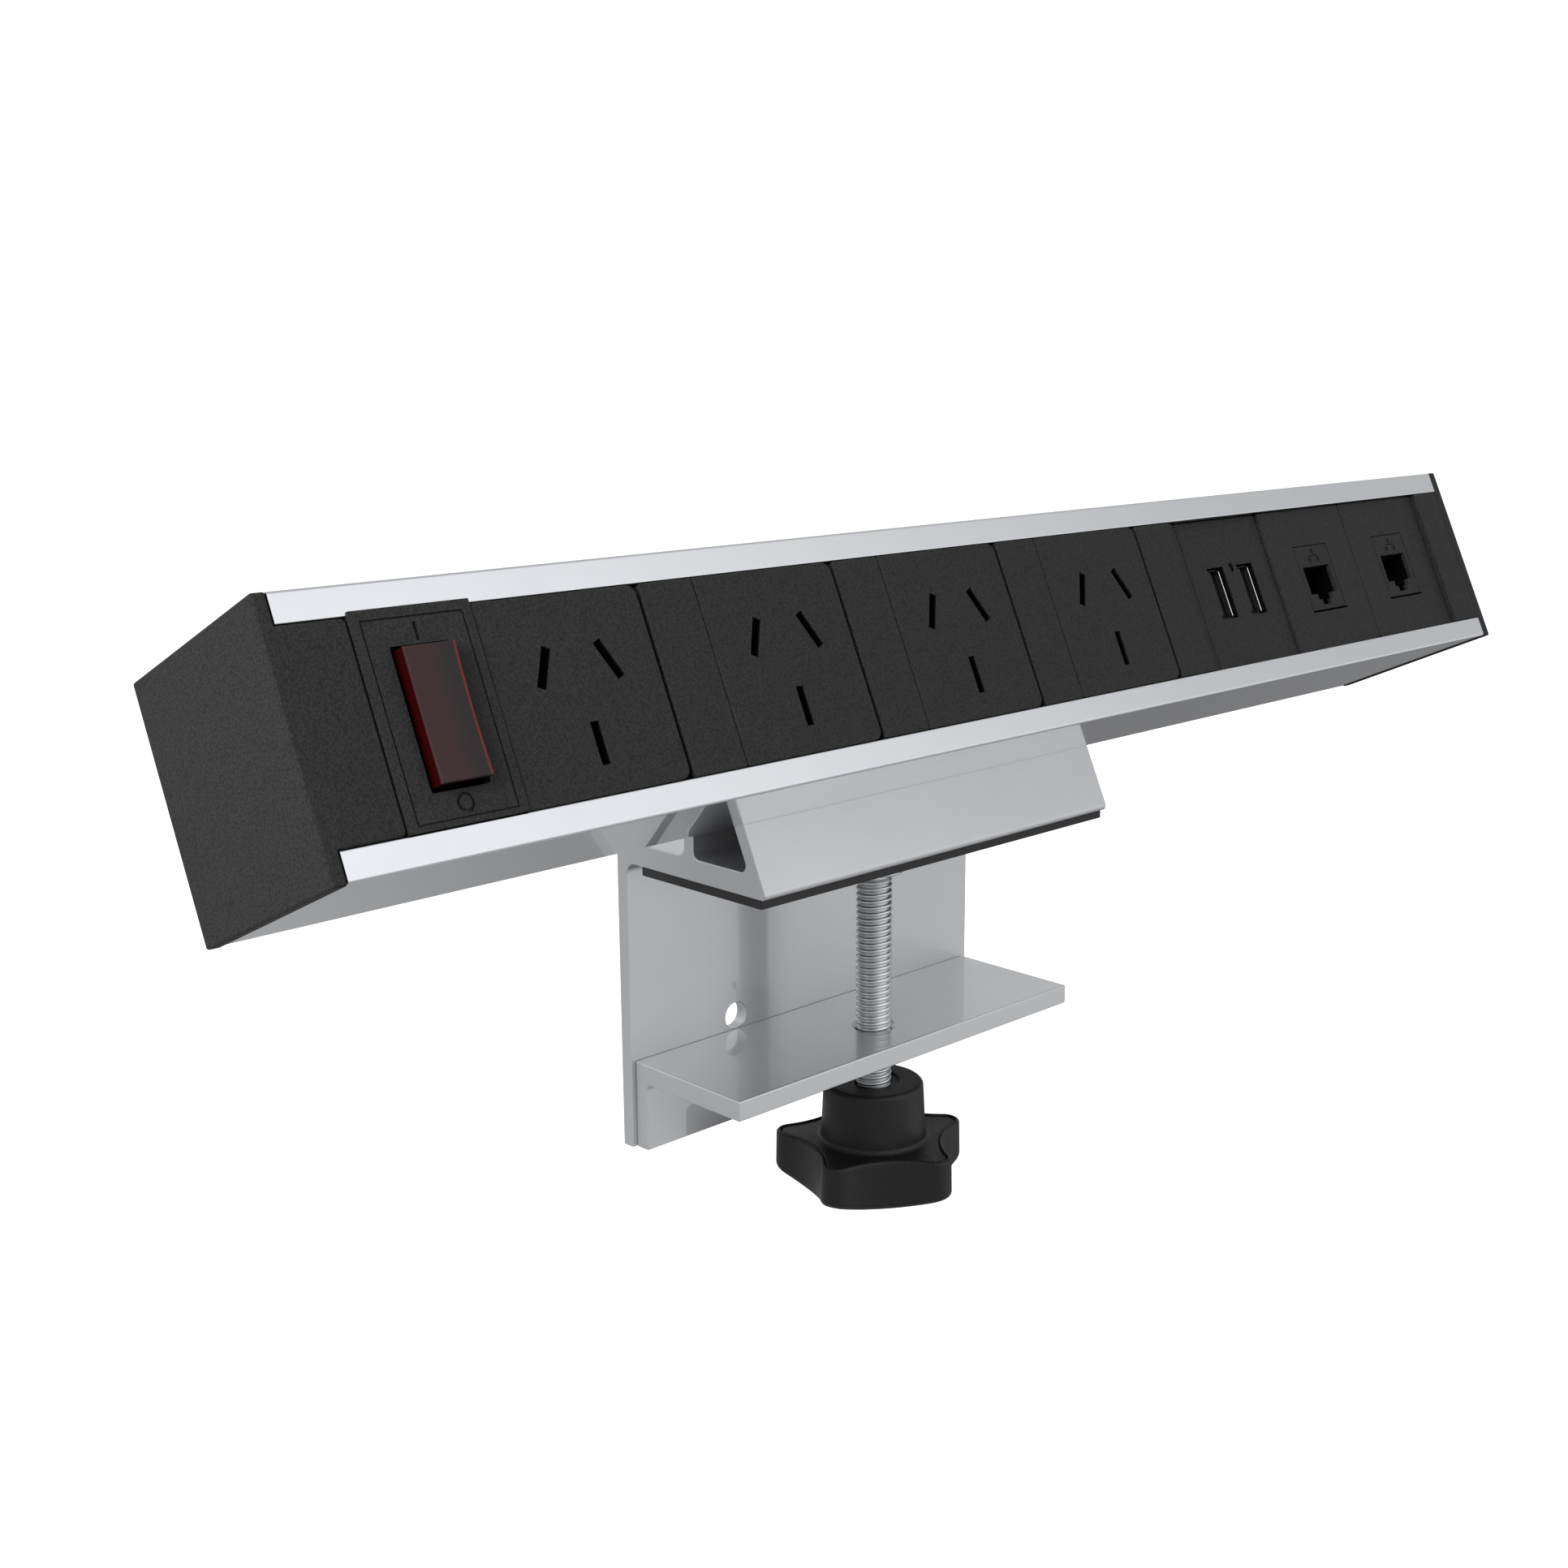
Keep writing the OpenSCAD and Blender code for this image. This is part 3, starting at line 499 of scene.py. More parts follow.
def flange(x0, x1, front, deep, holes=()):   # the taller part of a module, held behind the lips
    low, edge = module["flangeLow"], module["flangeEdge"]
    outline = rounded(box(x0, low, x1, stripHeight - low), module["flangeCorner"])
    return slab(faceOn, outline, edges(front, front + deep, edge, edge, 1), holes)


def hole(outline, front, back, edge=0.1):
    return outline, edges(front, back, edge, 0.0, 2)


def straight(front, back):   # rings of a side without rounded edges
    return [(front, 0), (back, 0)]


# A mark cut into a face: a hole through the plate and a floor that closes it at the mark's depth
def floorOf(outline, front, deep, back, holes=()):
    rings = straight(front + deep, back)
    return slab(faceOn, outline, rings, [(loop, rings) for loop in holes])


cap = {"corner": 0.5, "gap": 0.05, "inner": 0.1, "tongueCorner": 1.0, "flangeFrom": 3.15, "flangeDeep": 1.2,
       "rim": 0.3, "rearRim": 0.1, "glandCollar": 1.6, "holeEdge": 0.2}


def endCapLeft():
    c = cap
    low, high = stripSpan("end_cap_left")
    plateEnd = stripSpan("strip_extrusion")[0][0] - c["gap"]
    right, (foot, head) = high[0], opening
    outline = [(low[0], low[2]), (plateEnd, low[2]), (plateEnd, foot), (right, foot), (right, head),
               (plateEnd, head), (plateEnd, high[2]), (low[0], high[2])]
    radii = [c["corner"], c["corner"], c["inner"], c["tongueCorner"]]
    rings = edges(0, module["plate"], c["corner"], 0.0, 4)
    front = slab(faceOn, rounded(outline, radii + radii[::-1]), rings)
    side = rounded(box(low[0], low[2], plateEnd, high[2]), c["corner"])
    rear = slab(faceOn, side, edges(module["plate"], stripDepth, 0.0, c["corner"], 4))
    inner = flange(plateEnd + module["plate"], right, c["flangeFrom"], c["flangeDeep"])
    piece("endCapLeft", [front, rear, inner], "strip", "cap", "end_cap_left")


def endCapRight():
    c = cap
    low, high = stripSpan("end_cap_right")
    plateStart = stripSpan("strip_extrusion")[1][0]
    holes = []
    for gland in ("mains_gland", "data_gland"):
        start, end = stripSpan(gland)
        centre = (start + end)[1:] / 2
        radius = (end[1] - start[1]) / 2 - c["glandCollar"]
        holes.append((circle(centre, radius, 48), edges(-high[0], -plateStart, c["holeEdge"], 0.0, 2)))
    outline = rounded(box(0, low[2], stripDepth, high[2]), c["corner"])
    shell = slab(stripEnd, outline, edges(-high[0], -plateStart, c["rim"], c["rearRim"], 4), holes)
    piece("endCapRight", [shell], "strip", "cap", "end_cap_right")


endCapLeft()
endCapRight()
print("end caps made")

# on is the bar's width, height and place above the middle; off is the ring's two radii and its place
switch = {"proud": 0.3, "rise": 0.8, "corner": 0.2, "edge": 0.06, "frame": (19.4, 33.7), "line": 0.3,
          "lineDeep": 0.35, "markDeep": 0.5, "well": (11.2, 24.1), "wellCorner": 0.4, "deep": 10.2,
          "on": (0.7, 3.0, 14.2), "off": (1.7, 1.1, -14.4)}


def boxAt(x, z, width, height):
    return box(x - width / 2, z - height / 2, x + width / 2, z + height / 2)


def resetModule():
    s = switch
    low, high = stripSpan("reset_module")
    x = (low[0] + high[0]) / 2
    front, back = -s["proud"], module["plate"]
    outer = rounded(box(low[0], opening[0], high[0], opening[1] + s["rise"]), s["corner"])
    wide, tall = s["frame"]
    lineOuter = boxAt(x, middle, wide, tall)
    lineInner = boxAt(x, middle, wide - 2 * s["line"], tall - 2 * s["line"])
    well = rounded(boxAt(x, middle, *s["well"]), s["wellCorner"])
    barMark = boxAt(x, middle + s["on"][2], *s["on"][:2])
    ringOuter, ringInner = (circle((x, middle + s["off"][2]), radius) for radius in s["off"][:2])
    through = straight(front, back)
    holes = [hole(well, front, back, s["edge"]), (barMark, through), (ringOuter, through)]
    shells = [
        slab(faceOn, outer, edges(front, back, s["edge"], 0.0, 2), [(lineOuter, through)]),
        slab(faceOn, lineInner, through, holes),
        floorOf(lineOuter, front, s["lineDeep"], back, [lineInner]),
        floorOf(barMark, front, s["markDeep"], back),
        floorOf(ringOuter, front, s["markDeep"], back, [ringInner]),
        slab(faceOn, ringInner, through),
        flange(low[0], high[0], back, s["deep"], [(well, straight(back, back + s["deep"]))]),
    ]
    frontPiece("resetModule", shells, "reset_module")


rockerShape = {"foot": 2.6, "draft": 0.3, "edge": 0.3, "dish": 0.4, "stations": 25}


def rocker():
    r = rockerShape
    low, high = stripSpan("reset_rocker")
    x, half, wide = (low[0] + high[0]) / 2, (high[2] - low[2]) / 2, (high[0] - low[0]) / 2
    edge, rise = r["edge"], r["foot"] - low[1]
    # Section across the rocker: (half width, share of the height) from one foot over the top to the other
    a = np.linspace(0, np.pi / 2, 7)
    bow, drop = 1 - np.sin(a), 1 - np.cos(a)
    left = np.column_stack([-wide + r["draft"] + edge * drop, 1 - edge / rise * bow])
    section = np.concatenate([[(-wide, 0.0)], left, left[::-1] * [-1, 1], [(wide, 0.0)]])
    # Stations along it: the height falls away over the rounded ends and dips towards the middle
    ends = half - edge * bow
    between = np.linspace(-ends[0], ends[0], r["stations"])[1:-1]
    stations = np.concatenate([-ends[::-1], between, ends])
    fall = np.concatenate([edge * drop[::-1], np.zeros(len(between)), edge * drop])
    height = 1 - fall / rise - r["dish"] / rise * (1 - (stations / half) ** 2)
    u = np.broadcast_to(section[:, 0], (len(stations), len(section))) + x
    v = np.broadcast_to(stations[:, None], u.shape) + middle
    w = r["foot"] - rise * section[:, 1][None] * height[:, None]
    shell = placed(loft(np.stack([u, v, w], 2)), faceOn)
    piece("rockerCap", [shell], "rocker", "rocker", "reset_rocker", 60)


# rim is a painted highlight along the face's right edge, and the sides' colour near their foot is a painted
# shade
smoked = {"faceFrom": 0.35, "faceTo": 0.75, "warm": (0.024, 0.011, 0.011), "cool": (0.013, 0.010, 0.011),
          "rim": (0.16, 0.012, 0.010), "rimHighlightShare": 0.8, "sideTop": (0.013, 0.0003, 0.0003),
          "sideFootShade": (0.004, 0.0001, 0.0001), "gloss": 0.24}


def rockerFinish():   # deep red sides that darken towards their foot as a painted shade, and a smoky face with a painted highlight along its right edge
    s = smoked
    finish = Finish("rockerRed", (0.05, 0.002, 0.002), 0.3, Specular_IOR_Level=s["gloss"])
    low, high = stripSpan("reset_rocker")
    deep = finish.depth()
    across = (finish.split()[0] * 1000 - low[0]) / (high[0] - low[0])
    face = 1 - deep.step(low[1] + s["faceFrom"], low[1] + s["faceTo"])
    smoke = (finish.noise(3.0) * 0.12 + across).step(0.45, 0.85)
    tint = finish.mix(smoke, s["warm"], s["cool"])
    # painted highlight: a brighter red strip along the face's right edge
    tint = finish.mix(across.step(0.90, 0.95) * s["rimHighlightShare"], tint, s["rim"])
    # painted shade: the sides darken towards their foot, down in the well
    side = finish.mix(deep.step(-1.5, 0.5), s["sideTop"], s["sideFootShade"])
    finish.set(Base_Color=finish.mix(face, side, tint), Roughness=0.28 + face * 0.22)
    finish.bump(finish.cells(0.5) * face, 0.02)
    return finish.material


finishes["rocker"] = rockerFinish()
resetModule()
rocker()
print("reset switch made")

power = {"slot": (1.9, 7.6), "slotEdge": 0.08, "lean": 25.0, "gap": 13.8, "fromTop": 18.05, "earthDrop": 14.1,
         "groove": 0.8, "corner": 2.0, "leftCorner": 0.2, "bodyDeep": 22.0}


def bladeSlots(x):   # outlines of the two upper slots and the earth slot below them
    p = power
    flat, high = boxAt(0, 0, *p["slot"]), stripHeight - p["fromTop"]
    places = [(-p["lean"], (x - p["gap"] / 2, high)), (p["lean"], (x + p["gap"] / 2, high)),
              (0, (x, high - p["earthDrop"]))]
    return [turned2d(flat, turn, centre) for turn, centre in places]


def powerSocket(number):
    name, p = f"socket_{number}", power
    low, high = stripSpan(name)
    slots = bladeSlots((low[0] + high[0]) / 2)
    right = high[0] + module["seam"] - p["groove"]
    corners = [p["leftCorner"], p["corner"], p["corner"], p["leftCorner"]]
    outline = rounded(box(low[0], opening[0], right, opening[1]), corners, 8)
    back = module["plate"]
    holes = [hole(loop, 0, back, p["slotEdge"]) for loop in slots]
    front = slab(faceOn, outline, edges(0, back, module["edge"]), holes)
    inner = [(loop, straight(back, back + p["bodyDeep"])) for loop in slots]
    rear = flange(low[0], high[0], back, p["bodyDeep"], inner)
    frontPiece(f"powerSocket{number}", [front, rear], name, "socket")


def filler(name, node, deep, short=0.0):   # short is how far its flange stops before its right end
    low, high = stripSpan(node)
    shells = [plate(low[0], high[0], 0), flange(low[0], high[0] - short, module["plate"], deep)]
    frontPiece(name, shells, node)


for number in range(1, 5):
    powerSocket(number)
for number in range(1, 4):
    filler(f"fillerPiece{number}", f"filler_{number}", module["filler"])
print("power sockets made")

# charger and network are how far those modules lie behind the face; port and jack sizes are width by height
data = {"charger": 1.9, "network": 1.2, "chamfer": 4.7, "bend": 0.8, "port": (5.8, 12.5), "portGap": 12.0,
        "notch": (2.4, 1.0), "notchX": -2.6, "portCorner": 0.12, "light": 1.1, "lightDown": 17.6,
        "deep": 10.0, "shellHalf": 2.55, "shellWall": 0.35, "shellDeep": 13.0, "jack": (14.6, 16.4),
        "jackGap": 0.15, "slit": 0.9, "mouth": (11.7, 7.0), "mouthTop": 2.9, "mouthDeep": 9.0,
        "latch": ((3.2, 1.5), (1.9, 2.9)), "jackDeep": 26.0, "jackCorner": 0.3, "markDown": 2.6,
        "markDeep": 0.3, "flange": 1.2}


def chamferedFiller():
    d = data
    low, high = stripSpan("filler_4")
    bend, right, drop = high[0] + module["seam"] - d["chamfer"], high[0], d["charger"]
    back = drop + module["plate"]
    outline = [(low[0], 0), (bend, 0), (right, drop), (right, back), (low[0], back)]
    radii = [0.3, d["bend"], 0.2, 0.2, 0.2]
    shell = slab(stripTop, rounded(outline, radii), edges(-opening[1], -opening[0], 0.3, 0.3))
    inner = flange(low[0], right, drop + 0.7, 2.3)
    frontPiece("chamferedFiller", [shell, inner], "filler_4")


def portMiddles():   # x of the middle of each port, and of the light between them
    low, high = stripSpan("usb_shells")
    x = (low[0] + high[0]) / 2
    return [x - data["portGap"] / 2, x + data["portGap"] / 2], x


def chargerModule():
    d, front = data, data["charger"]
    back = front + module["plate"]
    low, high = stripSpan("usb_module")
    ports, x = portMiddles()
    w, h = d["port"][0] / 2, d["port"][1] / 2
    # one outline takes in the port and the small notches at the ends of its left side
    side, step = d["notchX"] - d["notch"][0] / 2, h - d["notch"][1]
    corners = [(w, -h), (w, h), (side, h), (side, step), (-w, step), (-w, -step), (side, -step), (side, -h)]
    outlines = [rounded(np.array(corners) + (port, middle), d["portCorner"], 3) for port in ports]
    outlines.append(circle((x, stripHeight - d["lightDown"]), d["light"], 32))
    holes = [hole(loop, front, back) for loop in outlines]
    inner = [(loop, straight(back, back + d["deep"])) for loop in outlines]
    shells = [plate(low[0], high[0], front, holes), flange(low[0] + 1, high[0] - 1, back, d["deep"], inner)]
    frontPiece("chargerModule", shells, "usb_module")


def shellFinish():   # nickel along the sides, with a painted shade at the shell's top and bottom ends
    bright, endShade = (0.95, 0.95, 0.95), (0.06, 0.06, 0.06)
    finish = Finish("nickelShell", bright, 0.15, 1.0)
    low, high = stripSpan("usb_shells")
    up = finish.height()
    # painted shade: the shell's colour goes dark at its top and bottom ends
    sides = up.step(low[2] + 0.4, low[2] + 0.9) * (1 - up.step(high[2] - 0.9, high[2] - 0.4))
    finish.set(Base_Color=finish.mix(sides, endShade, bright), Roughness=0.12 + finish.noise(0.6) * 0.1)
    return finish.material


finishes["nickel"] = shellFinish()


def chargerShells():
    d = data
    low, high = stripSpan("usb_shells")
    front, half, wall = low[1], d["shellHalf"], d["shellWall"]
    rings = edges(front, front + d["shellDeep"], 0.15, 0.15, 3)
    shells = []
    for x in portMiddles()[0]:
        outer = rounded(box(x - half, low[2], x + half, high[2]), 0.7)
        inner = rounded(box(x - half + wall, low[2] + wall, x + half - wall, high[2] - wall), 0.4)
        shells.append(slab(faceOn, outer, rings, [(inner, rings)]))
    piece("chargerShells", shells, "strip", "nickel", "usb_shells")


def networkModule(number):
    name, d = f"data_module_{number}", data
    low, high = stripSpan(name)
    x, front = (low[0] + high[0]) / 2, d["network"]
    back = front + module["plate"]
    w, h = d["jack"][0] / 2 + d["jackGap"], d["jack"][1] / 2 + d["jackGap"]
    # the window for the jack, with a finger slit along its foot that runs on to the right
    foot, lip, right = middle - h - 0.3, middle - h + 0.1, x + w + d["slit"]
    window = [(x - w, foot), (right, foot), (right, lip), (x + w, lip), (x + w, middle + h),
              (x - w, middle + h)]
    shells = [plate(low[0], high[0], front, [hole(np.array(window), front, back, 0.08)]),
              flange(low[0], high[0], back, d["flange"], [(window, straight(back, back + d["flange"]))])]
    frontPiece(f"networkModule{number}", shells, name)


def mirrored(corners, x):   # the right half of an outline, from its foot to its top, and its mirror image
    return np.array([(x + u, z) for u, z in corners] + [(x - u, z) for u, z in corners[::-1]])


def networkMark(x, z):   # one box joined by a line to two more, as one outline
    wide, thin, reach = 0.8, 0.15, 1.8
    boxTop, boxFoot = z - 0.55, z - 1.65
    return mirrored([(reach - thin, z - thin), (reach - thin, boxTop), (reach - wide, boxTop),
                     (reach - wide, boxFoot), (reach + wide, boxFoot), (reach + wide, boxTop),
                     (reach + thin, boxTop), (reach + thin, z + thin), (thin, z + thin), (thin, z + 0.45),
                     (wide, z + 0.45), (wide, z + 1.55)], x)


def networkJack(number):
    name, d = f"data_jack_{number}", data
    low, high = stripSpan(name)
    x, front = (low[0] + high[0]) / 2, d["network"]
    floor, outline = front + d["mouthDeep"], rounded(boxAt(x, middle, *d["jack"]), d["jackCorner"])
    # the mouth narrows in two steps towards its foot
    half, top = d["mouth"][0] / 2, middle + d["mouthTop"]
    foot, ((stepX, step), (latchX, latch)) = top - d["mouth"][1], d["latch"]
    mouth = mirrored([(latchX, foot - latch), (latchX, foot - step), (stepX, foot - step), (stepX, foot),
                      (half, foot), (half, top)], x)
    mark = networkMark(x, middle + d["jack"][1] / 2 - d["markDown"])
    holes = [hole(mouth, front, floor), (mark, straight(front, floor))]
    shells = [slab(faceOn, outline, edges(front, floor, 0.15, 0.0, 2), holes),
              slab(faceOn, outline, edges(floor, front + d["jackDeep"], 0.0, 0.3, 2)),
              floorOf(mark, front, d["markDeep"], floor)]
    frontPiece(f"networkJack{number}", shells, name)


chamferedFiller()
filler("endFiller", "end_filler", data["flange"], 3.7)
chargerModule()
chargerShells()
for number in (1, 2):
    networkModule(number)
    networkJack(number)
print("charger and network modules made")


# Clamp: the bracket and the jaw are sections carried along x, with their holes bored afterwards
clamp = {"plate": 3.3, "shelf": 5.1, "wall": 3.1, "wallTop": 38.0, "ribY": 1.7, "rib": 3.0, "nose": 1.2,
         "inside": 2.7, "outside": 2.2, "toe": 1.6, "jaw": 4.7, "leg": 3.75, "jawRound": 1.5, "boltX": 25.0,
         "boltZ": -57.4, "spareZ": -41.5, "hole": 3.2, "flare": 0.2, "bolt": 3.0, "screwHole": 4.35,
         "sink": 1.05, "edge": 0.35, "mountX": 40.0, "mountHole": 2.2, "keyHole": 4.5, "jawEdge": 0.4}


def bracketSection():
    c = clamp
    low, high = clampSpan("clamp_bracket")
    shelfLow = clampSpan("desk_pad")[1][2]
    shelfTop = shelfLow + c["shelf"]
    plateBack = high[1]
    plateY = plateBack - c["plate"]
    # the strip's lower rear edge, where the sloping wall's outer face meets the strip
    edgeY, edgeZ = (np.array([0, stripDepth, 0]) + stripCorner) @ stripAxes[:, 1:]
    slope = math.tan(lean)
    noseY = edgeY - (edgeZ - shelfLow) * slope
    headY, headZ = edgeY + c["wallTop"] * math.sin(lean), edgeZ + c["wallTop"] * math.cos(lean)
    backY, backZ = headY + c["wall"] * math.cos(lean), headZ - c["wall"] * math.sin(lean)
    ribBack = c["ribY"] + c["rib"]
    innerY = noseY + c["wall"] / math.cos(lean) + c["shelf"] * slope
    peak = (c["ribY"] - innerY) / slope + shelfTop
    outer = [(headY, headZ), (noseY, shelfLow), (plateY, shelfLow), (plateY, low[2]), (plateBack, low[2]),
             (plateBack, shelfTop), (ribBack, shelfTop), (ribBack, backZ), (backY, backZ)]
    hollow = [(c["ribY"], peak), (innerY, shelfTop), (c["ribY"], shelfTop)]
    radii = [0.4, c["nose"], c["inside"], 0.4, 0.4, 0.5, c["outside"], 0.5, 0.3]
    return rounded(outer, radii, 8), rounded(hollow, [0.4, c["toe"], c["toe"]], 8)


def cutter(profile, start, direction=(0, 0, 1), steps=48):   # a turned shape to be taken out of a piece
    shell = placed(lathe(profile, (0, 0), steps), along(direction, start))
    return linked(bpy.data.objects.new("cutter", meshFrom("cutter", [shell])))


def borer(radius, start, direction, length, flare=0.0):   # flare is a chamfer of that size at both ends
    wide = radius + flare + 1
    profile = [(radius, -1), (radius, length + 1)]
    if flare:
        profile = [(wide, -1), (radius, flare), (radius, length - flare), (wide, length + 1)]
    return cutter(profile, start, direction)


def bored(made, cutters):   # takes the cutters out of a piece and bakes the result into its mesh
    made.modifiers.clear()
    for tool in cutters:
        cut = made.modifiers.new("Bore", "BOOLEAN")
        cut.operation, cut.solver, cut.object = "DIFFERENCE", "EXACT", tool
    bpy.context.view_layer.update()
    whole = made.evaluated_get(bpy.context.evaluated_depsgraph_get())
    mesh = bpy.data.meshes.new_from_object(whole)
    made.modifiers.clear()
    made.data = mesh
    for tool in cutters:
        bpy.data.objects.remove(tool)
    mesh.shade_smooth()
    evenNormals(made, 30)


def clampBracket():
    c = clamp
    outer, hollow = bracketSection()
    low, high = clampSpan("clamp_bracket")
    rings = edges(-high[0], -low[0], c["edge"], c["edge"])
    made = piece("clampBracket", [slab(clampEnd, outer, rings, [(hollow, rings)])], "strip",
                 "clamp", "clamp_bracket")
    plateY, wallOut = high[1] - c["plate"], stripAxes[1]
    cutters = []
    for side in (-1, 1):
        for z in (c["boltZ"], c["spareZ"]):
            at = (side * c["boltX"], plateY, z)
            cutters.append(borer(c["hole"], at, (0, 1, 0), c["plate"], c["flare"]))
        at = (np.array([side * c["mountX"], stripDepth, extrusion["channel"]]) + stripCorner) @ stripAxes
        cutters.append(borer(c["mountHole"], at, wallOut, c["wall"] + 0.2))
        cutters.append(borer(c["keyHole"], at + wallOut * (c["wall"] + 2), wallOut, 30))
    bored(made, cutters)


def lowerJaw():
    c = clamp
    low, high = clampSpan("lower_jaw")
    legFront, under = high[1] - c["leg"], high[2] - c["jaw"]
    outline = [(low[1], high[2]), (low[1], under), (legFront, under), (legFront, low[2]), (high[1], low[2]),
               (high[1], high[2])]
    section = rounded(outline, [0.4, 0.4, c["jawRound"], 0.3, 0.3, 0.3])
    shell = slab(clampEnd, section, edges(-high[0], -low[0], c["jawEdge"], c["jawEdge"]))
    made = piece("lowerJaw", [shell], "strip", "clamp", "lower_jaw")
    cutters = [borer(c["bolt"], (side * c["boltX"], legFront, c["boltZ"]), (0, 1, 0), c["leg"])
               for side in (-1, 1)]
    narrow, wide = c["screwHole"], c["screwHole"] + c["sink"]
    sunk = [(narrow, -c["jaw"] - 1), (narrow, -1.0), (wide, 0.0), (wide, 1.0)]
    bored(made, cutters + [cutter(sunk, (*screwCentre(), high[2]), steps=64)])


def screwCentre():
    low, high = clampSpan("clamp_screw")
    return (low + high)[:2] / 2


def deskPad():
    low, high = clampSpan("desk_pad")
    outline = rounded(box(low[0], low[1], high[0], high[1]), 0.6)
    shell = slab(clampTop, outline, edges(-high[2], -low[2], 0.15, 0.25))
    piece("deskPad", [shell], "strip", "rubber", "desk_pad")


clampBracket()
lowerJaw()
deskPad()
print("clamp made")

# Screw: its radius falls and rises once a pitch along the shaft, shifted by one pitch a turn
thread = {"pitch": 1.5, "deep": 0.72, "round": 0.8, "steps": 64, "rows": 16, "taper": 1.2, "ball": 2.0,
          "neck": 1.4, "ballDown": 2.4, "shaftDown": 0.6}
tip = 0.02   # radius of the tiny face that closes a turned shape on its axis


def clampScrew():
    t = thread
    low, high = clampSpan("clamp_screw")
    cup = clampSpan("foot_cup")
    centre, radius = screwCentre(), (high[0] - low[0]) / 2
    bottom, top = low[2], cup[0][2] - t["shaftDown"]
    z = np.linspace(bottom, top, int((top - bottom) / t["pitch"] * t["rows"]))[:, None]
    a = np.arange(t["steps"]) * 2 * np.pi / t["steps"]
    wave = np.abs(np.sin(np.pi * (z / t["pitch"] - a / (2 * np.pi)))) ** t["round"]   # 0 root, 1 crest
    r = radius - t["deep"] * (1 - wave * np.clip((top - z) / t["taper"], 0, 1))
    rings = np.stack([centre[0] + r * np.cos(a), centre[1] + r * np.sin(a), np.broadcast_to(z, r.shape)], 2)
    ballR, neckR, ballZ = t["ball"], t["neck"], cup[1][2] - t["ballDown"]
    b = np.linspace(-math.acos(neckR / ballR), np.pi / 2, 14)[:-1]
    ball = [(neckR, top - 0.02), *zip(ballR * np.cos(b), ballZ + ballR * np.sin(b)), (tip, ballZ + ballR)]
    piece("clampScrew", [loft(rings), lathe(ball, centre, 40)], "screw", "zinc", "clamp_screw", None)


# soft rounds the star's lower edge and edge its upper one. groove lists the inset and drop of the rings
# inside its rim, and socket the added radius and drop of those in the hub's mouth.
knob = {"valley": 17.2, "tip": 4.0, "lobes": 5, "turn": 54.8, "hub": 12.0, "hubFoot": 12.6, "top": -72.4,
        "dome": 60.0, "recess": 0.35, "steps": 240, "soft": 1.4, "edge": 0.75, "edgeIn": 0.15, "face": 2.2,
        "fillet": 1.3, "rim": 1.2,
        "groove": ((1.02, 0.08), (1.1, 0.3), (1.2, 0.85), (1.34, 0.85), (1.42, 0.45), (1.6, 0.35)),
        "socket": ((2.4, 0.0), (2.1, 0.15), (1.9, 0.5), (0.9, 0.5), (0.2, 0.55), (-0.05, 0.8), (-0.05, 8.0))}


def onArc(far, radius, angle, side):   # where a ray meets an arc round a point at far; side 1 is its back
    return far * np.cos(angle) + side * np.sqrt(np.maximum(radius ** 2 - (far * np.sin(angle)) ** 2, 0))


# Lobe tips are arcs round points at tipAt from the middle; each valley is an arc that touches two tips from
# outside
def starOutline(reach, a):
    k = knob
    sector = np.pi / k["lobes"]
    off = np.abs((a - math.radians(k["turn"]) + sector) % (2 * sector) - sector)
    tipAt, gap = reach - k["tip"], k["valley"] - k["tip"]
    valleyAt = (tipAt ** 2 - gap ** 2) / (2 * tipAt * math.cos(sector) - 2 * gap)
    bend = valleyAt - k["valley"]
    share = k["tip"] / (k["tip"] + bend)
    meetX = tipAt + (valleyAt * math.cos(sector) - tipAt) * share
    meet = math.atan2(valleyAt * math.sin(sector) * share, meetX)
    return np.where(off < meet, onArc(tipAt, k["tip"], off, 1), onArc(valleyAt, bend, sector - off, -1))


def starKnob():
    k = knob
    low, high = clampSpan("knob")
    centre, hubTop, top = screwCentre(), high[2], k["top"]
    # the star's radius over its lobes comes from the furthest point of the node
    reach = np.linalg.norm(nodePoints("knob")[:, :2] - centre, axis=1).max()
    a = np.arange(k["steps"]) * 2 * np.pi / k["steps"]
    spoke = np.stack([np.cos(a), np.sin(a)], 1)
    outline = starOutline(reach, a)[:, None] * spoke
    quarter = np.linspace(0, np.pi / 2, 6)
    bow, drop = 1 - np.sin(quarter), 1 - np.cos(quarter)
    rings = []

    def ring(flat, height):
        rings.append(np.column_stack([flat + centre, np.broadcast_to(height, len(flat))]))

    def underneath(flat, up=0.0):   # a ring on the domed underside, or that far above it
        radius = np.linalg.norm(flat, axis=1)
        ring(flat, low[2] + k["dome"] - np.sqrt(k["dome"] ** 2 - radius ** 2) + up)

    for size in (0.02, 0.25, 0.5, 0.75, 0.9):
        underneath(outline * size)
    for back, up in zip(bow, drop):   # rounded lower edge
        underneath(inset(outline, k["soft"] * back), k["soft"] * up)
    for back, down in zip(drop, bow):   # rounded upper edge
        ring(inset(outline, k["edgeIn"] + k["edge"] * back), top - k["edge"] * down)
    for back, down in k["groove"]:
        ring(inset(outline, back), top - down)
    face, last = top - k["recess"], inset(outline, k["face"])
    ring(last, face)
    foot = k["hubFoot"] + k["fillet"]
    for share in (0.35, 0.7, 1.0):   # the top face runs in to the foot of the hub
        ring(last * (1 - share) + foot * spoke * share, face)
    for back, up in list(zip(bow, drop))[1:]:
        ring((k["hubFoot"] + k["fillet"] * back) * spoke, face + k["fillet"] * up)
    for back, down in zip(drop, bow):
        ring((k["hub"] - k["rim"] * back) * spoke, hubTop - k["rim"] * down)
    for wider, down in k["socket"]:
        ring((clamp["screwHole"] + wider) * spoke, hubTop - down)
    piece("starKnob", [loft(rings)], "screw", "knob", "knob", 50)


